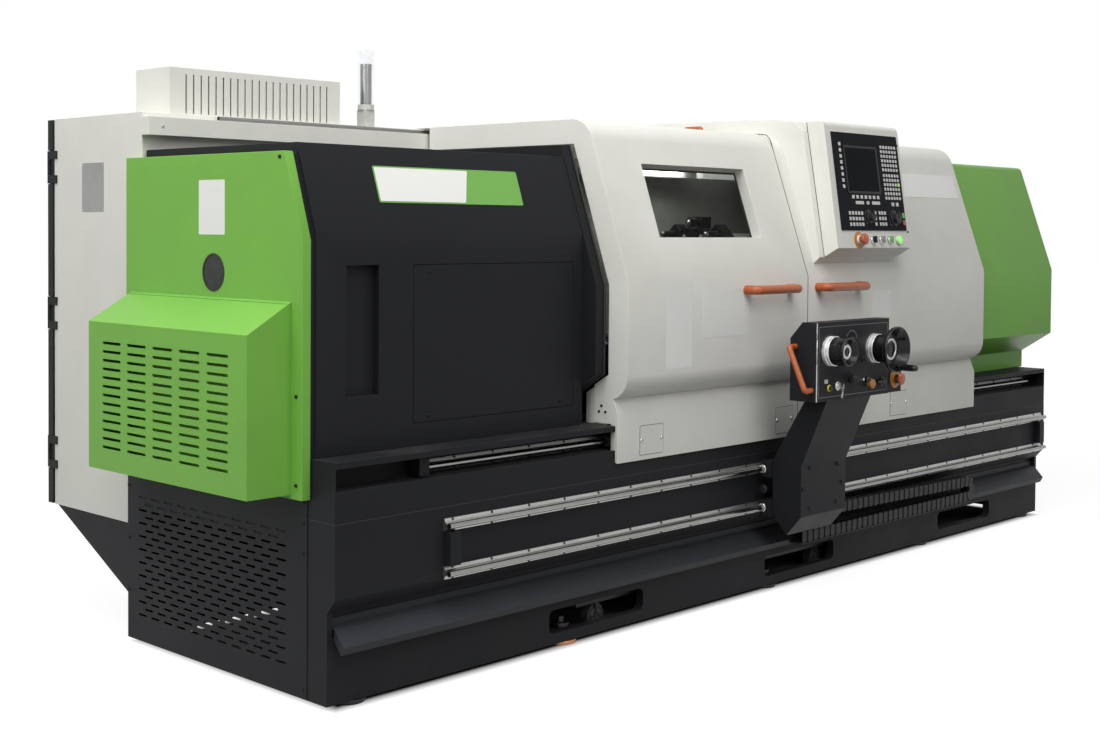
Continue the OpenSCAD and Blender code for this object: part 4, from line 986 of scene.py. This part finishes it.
class LATHE_OT_works(bpy.types.Operator):
    """Dresses the spindle, chuck, slides, turret and tailstock"""

    bl_idname = "lathe.works"
    bl_label = "Spindle and Slides"

    def execute(self, context):
        finish_node("spindle", "Turned Steel")
        dressed("chuck_body", "chuck_shell", "Turned Steel", 1.2)
        for i in (1, 2, 3):
            dressed(f"chuck_jaw_{i}", f"jaw_{i}_ground", "Blackened Steel", 1.0)
        dressed("saddle", "saddle_casting", "Grey Casting Paint", 2.0)
        dressed("cross_slide", "cross_slide_casting", "Grey Casting Paint", 2.0)
        dressed("turret_disc", "turret_head", "Tool Steel", 1.5)
        # clamping screws and coolant nozzles on the face of the turret
        head = body_of_node("turret_disc")

        def on_turret(x, r, degrees):
            """On the turret's face, at radius r from its axis."""
            a = math.radians(degrees)
            return left_side(x, 600 + r * math.sin(a), SPINDLE_Z + r * math.cos(a))

        ring = [on_turret(x, r, 45 * i + turn) for i in range(8)
                for x, r, turn in ((2226, 106, 22.5), (2238, 155, 0))]
        screws("turret_screws", ring, 15, head, "Zinc Screw")
        tip = turned([(0, 0), (11, 0), (11, 5), (6, 9), (0, 9)], 20)
        fit(copies(tip, [on_turret(2206 - 30 * (i % 2), 150, 45 * i) for i in range(8)]),
            "turret_nozzles", head, "Turned Steel")
        dressed("tailstock", "tailstock_casting", "Grey Casting Paint", 3.0)
        finish_node("quill", "Turned Steel")
        return {"FINISHED"}


class LATHE_OT_pod(bpy.types.Operator):
    """Dresses the control pod, its neck, panel, keys and buttons"""

    bl_idname = "lathe.pod"
    bl_label = "Control Pod"

    def execute(self, context):
        body, out = "right_door", 4.0  # out: the panel's height over the housing's face
        dressed("pod_neck", "pod_neck_skin", "White Paint", 2.0, 32)
        dressed("pod_housing", "pod_shell", "White Paint", 3.0, 32, 3)
        dressed("pod_panel", "pod_panel_film", "Panel Film", 0.8)
        # key caps: place on the panel, columns and rows with their pitch, size of a key
        keys = [put(in_rows(plate(w * 0.84, h * 0.88, 1.4, 1.5, 0.4), cols, rows, px, pz),
                    pod_face(34 + x + w * 0.08, 63 + z + h * 0.06, out))
                for x, z, cols, rows, px, pz, w, h in (
                    (34, 148, 1, 8, 1, 21.5, 16, 14), (304, 112, 6, 6, 18.6, 16.6, 14, 12),
                    (304, 216, 6, 6, 18.6, 16.6, 14, 12), (84, 112, 7, 1, 27, 1, 18, 14),
                    (100, 92, 1, 1, 1, 1, 62, 13), (174, 92, 1, 1, 1, 1, 20, 13),
                    (206, 92, 1, 1, 1, 1, 62, 13), (340, 88, 2, 1, 30, 1, 20, 15),
                    (52, 14, 5, 3, 19.5, 20, 15, 14), (216, 16, 1, 3, 1, 20, 15, 14),
                    (246, 16, 3, 3, 18, 20, 14, 14))]
        fit(joined(keys), "key_caps", body, "Key Caps", "panel_keys")
        # joint between the housing and its neck
        slab("pod_joint", body, "Rubber Seal",
             face(at(2092, -90, 1131), Vector((0, -472, 81)), Vector((0, 81, 472))), 2, 478, 0.4)
        # bezel and glass of the screen
        fit(put(framed_plate(214, 170, 2.5, 6, 3, 1.5), pod_face(97, 195, out - 0.5)), "screen_bezel",
            body, "Black Plastic")
        slab("screen_glass", body, "Screen Glass", pod_face(105, 203, out + 0.6), 198, 154, 0.6)
        # lit and coloured keys
        slab("green_key", body, "Key Lamp", pod_face(34 + 304 + 5 * 18.6, 63 + 112 + 3 * 16.6, out),
             14, 12, 2.4, 1.5, 0.5)
        slab("start_key", body, "Green Key", pod_face(438, 108, out), 14, 20, 3.5, 3, 1)
        slab("stop_key", body, "Red Mushroom", pod_face(438, 82, out), 18, 18, 3.5, 3, 1)
        # knobs with their dials
        for side, u, v, r in (("left", 213, 109, 20), ("right", 379, 105, 25)):
            knob = turned([(r, out + 0.3), (r, out + 6), (r - 2, out + 8), (r - 5, out + 8.5),
                           (r - 6, out + 22), (r - 8, out + 24), (0, out + 24)], 40)
            grip = put(plate(4, r * 1.2, 3, 1, 0.5), pod_face(u - 2, v - r * 0.1, out + 23))
            node = "pod_knob_" + side
            fit(joined([put(knob, pod_face(u, v)), grip]), "override_knob_" + side, node,
                "Black Plastic", node)
            dial(f"override_knob_{side}_dial", body, pod_face(u, v, out), r + 2.5,
                 range(150, -151, -15), 0.8, 4, 0.25)
        # buttons under the panel, in one row
        v = 29
        spun("stop_collar", body, "Amber Ring", pod_face(138, v),
             [(9.6, 0.2), (30, 0.2), (30, 2), (28, 3), (9.6, 3), (9.6, 0.4)], 40)
        spun("stop_mushroom", "pod_estop", "Red Mushroom", pod_face(138, v),
             [(9, 6.7), (9, 16), (17, 18), (20, 22), (20, 27), (18.5, 30.5), (13, 33), (0, 34)], 36,
             "pod_estop")
        # turned switches: places, size of the lever and its height over the panel, finish
        flat = [(14, 0.3), (14, 5), (12.5, 7), (9, 8), (0, 8)]
        deep = [(14, 0.2), (14, 6), (12, 8), (9, 9), (0, 9)]
        for name, u, ring, w, t, lift, finish, node in (
            ("pod_selector_knob", 225, flat, 8, 13, 7, "Black Plastic", "pod_selector"),
            ("pod_key_lock", 280, flat, 3, 13, 7, "Satin Chrome", "pod_key_switch"),
            ("pod_second_selector", 338, deep, 7, 10, 8, "Green Key", None),
        ):
            lever = put(plate(w, 24, t, 2, 0.8), pod_face(u - w / 2, v - 12, lift))
            assembled(name, node or body,
                      ((put(turned(ring), pod_face(u, v)), "Satin Chrome"), (lever, finish)), node)
        spun("start_collar", body, "Satin Chrome", pod_face(397, v),
             [(14.3, 0.2), (18, 0.2), (18, 6), (17, 8), (14.3, 8)])
        spun("start_lens", "pod_start_button", "Green Lamp", pod_face(397, v),
             [(14, 4.3), (14, 10), (12, 12), (0, 12.6)], node="pod_start_button")
        screws("pod_screws", [pod_face(466, 379), pod_face(472, 58)], 8, body)
        return {"FINISHED"}


class LATHE_OT_console(bpy.types.Operator):
    """Dresses the travelling hand console, its handwheels and switches"""

    bl_idname = "lathe.console"
    bl_label = "Hand Console"

    def wheel(self, side, y, x, z, r, out, hub, bowl, ring):
        """A handwheel of radius r that stands out by out, on its graduated silver collar."""
        _, f = settings()
        place = front(x, y - 0.3, z)
        c, drum, inner = 48.5, min(47, r - 0.5), ring - 8.5
        parts = [(put(turned(points, sides), place), finish) for points, sides, finish in (
            ([(0, 0), (c - 2, 0), (c, 1), (c, 12), (c - 1.4, 13), (c - 1.4, 14), (c, 15), (c, 25),
              (c - 1, 26), (0, 26)], 64, "Collar Silver"),
            ([(drum, 26), (drum, out * 0.62), (r - 2, out - 14), (r - 0.8, out - 11), (r, out - 9),
              (r, out - 2), (r - 1.5, out), (r - 4.5, out), (r - 6, out - 1.5), (bowl + 1, hub + 1.5),
              (bowl, hub), (ring, hub), (0, hub)], 72, "Gloss Black"),
            ([(inner, hub - 1), (ring, hub - 1), (ring, hub + 3), (ring - 1, hub + 4),
              (inner + 1, hub + 4), (inner, hub + 3)], 56, "Satin Chrome"),
            ([(0, hub - 1), (inner, hub - 1), (inner, hub + 2.5), (inner - 2, hub + 3.5),
              (0, hub + 3.5)], 48, "Gloss Black"),
        )]
        ticks = []
        for length, fifth in ((4, False), (7, True)):
            spots = [place @ Matrix.Rotation(math.tau * k / f.tick_count, 4, "Y")
                     for k in range(f.tick_count) if (k % 5 == 0) == fifth]
            lying = [moved(m, 0, -25.5, c - 0.1) @ Matrix.Rotation(math.pi / 2, 4, "X") for m in spots]
            ticks.append(copies(plate(0.6, length, 0.2), [moved(m, -0.3, 0, 0) for m in lying]))
        parts.append((joined(ticks), "Gloss Black"))
        if side == "right":
            crank = front(x + 18, y - 0.3, z - 60)
            lug = turned([(0, 76), (3, 76), (12, 88), (12, out - 1), (11, out), (0, out)])
            pin = turned([(4, out - 1), (4, out + 48), (0, out + 48)], 24)
            parts += [(put(lug, crank), "Gloss Black"), (put(pin, crank), "Turned Steel")]
        node = "handwheel_" + side
        assembled("wheel_" + side, node, parts, node)
        # fixed ring round the collar's foot
        spun(side + "_collar_foot", "console", "Black Plastic", front(x, y, z),
             [(49.5, 0), (54, 0), (54, 0.2), (52, 0.25), (49.5, 0.25)], 64)

    def execute(self, context):
        _, f = settings()
        body, y = "console", -306  # y: plane of the console's face
        dressed("console_box", "console_case", "Charcoal Sheet", f.edge)
        dressed("console_arm", "console_arm_folded", "Charcoal Sheet", 1.0)
        # bent grab handle, its two feet in the side of the case
        path = [at(x, *yz) for x, yz in ((1727, (-227, 847)), (1691, (-227, 847)), (1691, (-290, 708)),
                                         (1727, (-290, 708)))]
        fit(beading(bent(path, 0.012), 19, 7), "console_handle", body, "Orange Plastic", "grab_handle")
        # silver strip down the front's left edge, and the thin line inside the face's border
        slab("console_strip", body, "Satin Chrome", front(1729, y, 671.5), 6, 254, 0.8, 1)
        line = border(1744, 2156, 683, 913.4, 1.4, lambda x, z: front(x, y, z), 0.3)
        fit(line, "console_border", body, "Grey Casting Paint")
        # feed switch over the left handwheel
        dial("feed_scale", body, front(1935, y, 862), 30, range(-75, 76, 15), 1.2, 5, 0.3)
        spun("feed_knob", body, "Black Plastic", front(1935, y, 862),
             [(13, 0), (13, 3), (11, 4), (9, 14), (8, 15), (0, 15)])
        self.wheel("left", y, 1805, 834, 46.5, 80, 63, 32, 24.5)
        self.wheel("right", y, 2066, 830, 77, 98, 66, 50, 37)
        dressed("crank_grip", "crank_grip_turned", "Gloss Black", 0.5, 40)
        # joystick: stem, ball, boot and knob
        stick = [(put(turned(points, sides), front(1929, y, 737)), finish) for finish, sides, points in (
            ("Turned Steel", 20, [(4.2, 16), (4.2, 52), (0, 52)]),
            ("Black Plastic", 28, [(0, 4), (5, 5), (8.7, 9), (10, 14), (8.7, 19), (5, 22.6), (0, 24)]),
            ("Rubber Seal", 28, [(7.5, 23), (8.6, 24.5), (6.4, 26.5), (7.6, 28.5), (5.6, 31), (6.6, 33),
                                 (4.6, 36)]),
            ("Gloss Black", 28, [(0, 57), (4.6, 57.5), (8, 60), (10.4, 64), (11, 68), (10.2, 72.5),
                                 (7.6, 76.4), (4, 78.5), (0, 79)]),
        )]
        assembled("joystick_lever", "joystick", stick, "joystick")
        # small knob in its ring, left of the crank wheel's foot
        place = front(2010, y, 795)
        ring = put(turned([(7, 0), (11, 0), (11, 2), (10, 3), (7, 3)]), place)
        knob = put(turned([(0, 0), (7, 0), (7, 9), (5.6, 10.5), (0, 10.5)], 28), place)
        assembled("small_knob", body, ((ring, "Blackened Steel"), (knob, "Black Plastic")))
        # small switches along the foot of the face
        slab("button_tag", body, "Label Grey", front(1778, y, 728), 20, 13, 0.4, 1)
        for name, finish, x, z, sides, points in (
            ("yellow_button", "Yellow Ring", 1804, 712, 32,
             [(0, 0), (11.5, 0), (11.5, 3), (10, 5), (8.6, 5.5), (8.6, 4), (0, 4)]),
            ("yellow_button_cap", "Black Plastic", 1804, 712, 32,
             [(0, 4), (8.2, 4), (8.2, 9), (7, 10), (0, 10)]),
            ("console_key_lock", "Satin Chrome", 1852, 717, 36,
             [(0, 0), (15, 0), (15, 3.5), (13.5, 5), (11, 6), (10, 10), (8.5, 10.5), (8.5, 9), (0, 9)]),
            ("feed_hold_knob", "Amber Ring", 2038, 712, 36,
             [(0, 0), (9, 0), (9, 4), (7, 5), (7, 9), (14, 12), (16, 16), (15.4, 20), (11, 23.5), (0, 25)]),
        ):
            spun(name, body, finish, front(x, y, z), points, sides)
        key = put(plate(2.4, 15, 16, 1, 0.4), moved(front(1850.8, y, 709.5), 0, -10, 0))
        ring = beading([at(1852 + 5 * math.sin(a), y - 22, 706 + 8 * math.cos(a))
                        for a in (math.radians(24 * k) for k in range(16))], 1.2)
        tag = put(plate(8, 20, 2, 3, 0.5), front(1842, y - 21, 680) @ Matrix.Rotation(0.35, 4, "Y"))
        assembled("console_key", body, ((key, "Satin Chrome"), (ring, "Satin Chrome"), (tag, "Label Grey")))
        base = put(turned([(0, 0), (15, 0), (15, 3), (13, 5), (11, 6), (10, 12), (0, 12)], 36),
                   front(2123, y, 713))
        arm = put(plate(44, 7, 5, 3, 0.8), front(2083, y - 7, 711))
        fit(joined([base, arm]), "console_selector", body, "Blackened Steel")
        # stop button on the side box, with its collar
        spun("console_stop_collar", body, "Amber Ring", front(2217, -300, 716),
             [(9.6, 0), (32, 0), (32, 2.5), (30, 3.5), (17.6, 3.6), (17.6, 8), (16, 8), (16, 3.4),
              (9.6, 3.4)], 44)
        low, high = corners("console_estop")
        deep, r = (high.y - low.y) * 1000, (high.x - low.x) * 500
        spun("console_mushroom", "console_estop", "Red Mushroom",
             face(Vector(((low.x + high.x) / 2, high.y, (low.z + high.z) / 2))),
             [(9, 9.0), (9, deep * 0.45), (r - 4, deep * 0.5), (r, deep * 0.62), (r, deep * 0.8),
              (r - 2, deep * 0.92), (r * 0.6, deep * 0.985), (0, deep)], 40, "console_estop")
        # screws of the arm
        spots = ((1855, 432), (2018, 430), (1819, 365), (2045, 364), (1858, 298), (2015, 302))
        screws("arm_screws", [front(x, -204, z) for x, z in spots], 14, body)
        # lock knob and the seals of the bearing blocks, beside the arm
        spun("arm_lock_knob", body, "Black Plastic", left_side(1790, -68, 357),
             [(0, 0), (8, 0), (8, 4), (14, 5.5), (15, 9), (15, 13), (13, 15.5), (0, 16.5)], 28)
        seal = turned([(8.6, 0), (15, 0), (15, 2.5), (13.5, 4), (8.6, 4)])
        fit(copies(seal, [left_side(1790, -57, z) for z in (292, 422)]), "bearing_seals", body,
            "Satin Chrome")
        return {"FINISHED"}


class LATHE_OT_chain(bpy.types.Operator):
    """Makes the drag chain of the hand console from single links"""

    bl_idname = "lathe.chain"
    bl_label = "Drag Chain"

    @staticmethod
    def link(pitch, wide, high):
        """Two cranked side plates with a bar above and a bar below, in millimetres."""
        pieces = []
        for s in (-1, 1):
            for h, t, back, inset in ((high - 1, 2.6, 0.5, 1.4), (high - 5, 2.4, 0.1, 3.6)):
                pieces.append((plate(pitch * 0.62, h, t, 5, 0.5),
                               (-pitch * back, s * (wide / 2 - inset) + t / 2, -h / 2)))
        for s in (-1, 1):
            pieces.append((plate(pitch * 0.50, 3, wide - 5, 0, 0.6),
                           (-pitch * 0.35, (wide - 5) / 2, s * (high / 2 - 2.2) - 1.5)))
        return joined([put(o, moved(Matrix.Identity(4), *spot)) for o, spot in pieces])

    def execute(self, context):
        _, f = settings()
        low, high = corners("drag_chain")
        x0, x1, top_x = (at(x, 0, 0).x for x in (1990, 3145, 2010))
        half, loop_r, wide = 0.020, 0.050, high.y - low.y
        y, z_low, r = (low.y + high.y) / 2, low.z + half, loop_r - half
        pitch = f.link_pitch / 1000
        # places along the loop, as X, Z and turn: the link's X runs along the chain
        lower, upper = [], []
        x = x0 + pitch / 2
        while x < x1:
            lower.append((x, z_low, 0.0))
            x += pitch
        turns = max(3, round(math.pi * r / pitch))
        for k in range(turns):
            a = -math.pi / 2 + math.pi * (k + 0.5) / turns
            spot = (x1 + r * math.cos(a), z_low + r + r * math.sin(a), a + math.pi / 2)
            (lower if a < 0 else upper).append(spot)
        run, rise = top_x - x1, high.z - half - z_low - 2 * r
        n = round(math.hypot(run, rise) / pitch)
        for t in ((k + 0.5) / n for k in range(n)):
            upper.append((x1 + run * t, z_low + 2 * r + rise * t, math.atan2(rise, run)))
        for name, spots, a, b, start in (("chain_lower", lower, "machine", "console", x0),
                                         ("chain_upper", upper, "console", "machine", top_x)):
            places = [Matrix.Translation((x, y, z)) @ Matrix.Rotation(-turn, 4, "Y") for x, z, turn in spots]
            o = settle(copies(self.link(pitch * 1000, wide * 1000, half * 2000), places))
            o.name = o.data.name = name
            paint_with(o, "Chain Plastic")
            end = 2 * (x1 + r) - start
            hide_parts("drag_chain")
            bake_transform(o, a, b, (start, y, z_low), (end, y, z_low))
            rest()
        return {"FINISHED"}


class LATHE_OT_stage(bpy.types.Operator):
    """Lays the floor and sets the lamps, the world and the camera"""

    bl_idname = "lathe.stage"
    bl_label = "Floor, Lamps and Camera"

    def floor(self):
        """A floor that glows pale to the eye all round the machine, with painted shade under it: its glow
        stops inside the base's footprint.
        """
        rest()
        bpy.ops.mesh.primitive_grid_add(
            x_subdivisions=4, y_subdivisions=4, size=90, location=(0, 0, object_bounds()[0].z)
        )
        o = settle(bpy.context.object)
        o.name = o.data.name = "studio_floor"
        m = bpy.data.materials.new("Studio Floor")
        m.use_nodes = True
        t = m.node_tree
        place = object_place(t)
        tone = span(t, noise(t, place, 0.6, 2.0), 0.3, 0.7, 0.0, 1.0)
        # painted shade under the machine: a mask that is 0 inside the base's footprint and 1 outside, over a
        # 5 cm ramp at its edges, cuts off the floor's glow
        outside_painted_shade = 0.0
        foot = corners("base_frame")
        for axis in (0, 1):
            for edge, inwards in ((foot[0][axis], 0.05), (foot[1][axis], -0.05)):
                away = span(t, axes(t, place)[axis], edge, edge + inwards, 1.0, 0.0)
                outside_painted_shade = math_node(t, "MAXIMUM", away, outside_painted_shade)
        distance = shader_node(t, "VectorMath", {0: place}, operation="LENGTH")["Value"]
        glow = times(t, seen_ray(t), outside_painted_shade)
        for key, value in (
            ("Base Color", mixed(t, tone, (0.21, 0.21, 0.21, 1), (0.23, 0.23, 0.23, 1))),
            ("Roughness", 0.9), ("Specular IOR Level", 0.0), ("Emission Color", (1, 1, 1, 1)),
            ("Emission Strength", times(t, glow, span(t, distance, 2.6, 7.0, 0.90, 1.0))),
        ):
            feed(t, t.nodes["Principled BSDF"].inputs[key], value)
        o.data.materials.append(m)
        o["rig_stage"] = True

    def lamps(self):
        """Four square lamps that look at the middle of the machine; size in metres, power in watts."""
        aim = at(1800, 300, 800)
        for name, spot, size, power in (
            ("key_softbox", at(200, -4200, 3900), 3.0, 76), ("end_softbox", at(-4600, -200, 2700), 3.0, 82),
            ("top_softbox", at(0, -1500, 5200), 4.0, 138), ("rear_softbox", at(-1800, 600, 5000), 4.0, 126),
        ):
            rest()
            bpy.ops.object.light_add(type="AREA", location=spot)
            lamp = bpy.context.object
            lamp.name = lamp.data.name = name
            lamp.data.shape, lamp.data.size, lamp.data.energy = "SQUARE", size, power
            lamp.rotation_euler = (aim - spot).to_track_quat("-Z", "Y").to_euler()

    def camera(self):
        """A camera left of the front, with its azimuth, pitch and roll in degrees."""
        az, pitch, roll = (math.radians(v) for v in (-46.195, -1.650, 0.446))
        ahead = Vector((-math.sin(az) * math.cos(pitch), math.cos(az) * math.cos(pitch), math.sin(pitch)))
        right = Vector((math.cos(az), math.sin(az), 0))
        up = right.cross(ahead)
        side = right * math.cos(roll) + up * math.sin(roll)
        over = up * math.cos(roll) - right * math.sin(roll)
        rest()
        bpy.ops.object.camera_add()
        cam = bpy.context.object
        cam.name = cam.data.name = "front_left_view"
        place = Matrix((side, over, -ahead)).transposed().to_4x4()
        place.translation = at(-2390.5, -3069.6, 1227.4)
        cam.matrix_world = place
        cam.data.sensor_width, cam.data.lens = 36, 49.9
        cam.data.shift_x, cam.data.shift_y = 0.0, -0.0870
        cam.data.clip_start, cam.data.clip_end = 0.05, 200
        return cam

    def execute(self, context):
        self.floor()
        # world: white to the eye and in gloss and glass, softer as a lamp
        world = bpy.data.worlds.new("Studio")
        context.scene.world = world
        world.use_nodes = True
        w = world.node_tree
        back = w.nodes["Background"].inputs
        back["Color"].default_value = (1, 1, 1, 1)
        feed(w, back["Strength"], span(w, seen_ray(w), 0.0, 1.0, 0.15, 1.0))
        self.lamps()
        context.scene.camera = self.camera()
        context.scene.view_settings.view_transform = "Standard"
        return {"FINISHED"}


class LATHE_PT_panel(bpy.types.Panel):
    """The lathe's settings and the operators that dress it"""

    bl_idname = "LATHE_PT_panel"
    bl_label = "Engine Lathe"
    bl_space_type = "VIEW_3D"
    bl_region_type = "UI"
    bl_category = "Lathe"

    def draw(self, context):
        for group in settings():
            column = self.layout.column(align=True)
            for name in type(group).__annotations__:
                column.prop(group, name)
        for step in STEPS:
            self.layout.operator(step.bl_idname)


STEPS = (
    LATHE_OT_paints, LATHE_OT_base, LATHE_OT_guides, LATHE_OT_headstock, LATHE_OT_cabinet,
    LATHE_OT_doors, LATHE_OT_works, LATHE_OT_pod, LATHE_OT_console, LATHE_OT_chain, LATHE_OT_stage,
)
CLASSES = (LathePaintSettings, LatheFittingSettings, *STEPS, LATHE_PT_panel)


def register():
    for c in CLASSES:
        bpy.utils.register_class(c)
    bpy.types.Scene.lathe_paint = bpy.props.PointerProperty(type=LathePaintSettings)
    bpy.types.Scene.lathe_fitting = bpy.props.PointerProperty(type=LatheFittingSettings)


def unregister():
    del bpy.types.Scene.lathe_fitting
    del bpy.types.Scene.lathe_paint
    for c in reversed(CLASSES):
        bpy.utils.unregister_class(c)


def main():
    register()
    bpy.ops.lathe.paints()
    bpy.ops.lathe.base()
    bpy.ops.lathe.guides()
    bpy.ops.lathe.headstock()
    bpy.ops.lathe.cabinet()
    bpy.ops.lathe.doors()
    bpy.ops.lathe.works()
    bpy.ops.lathe.pod()
    bpy.ops.lathe.console()
    bpy.ops.lathe.chain()
    bpy.ops.lathe.stage()


if __name__ == "__main__":
    main()
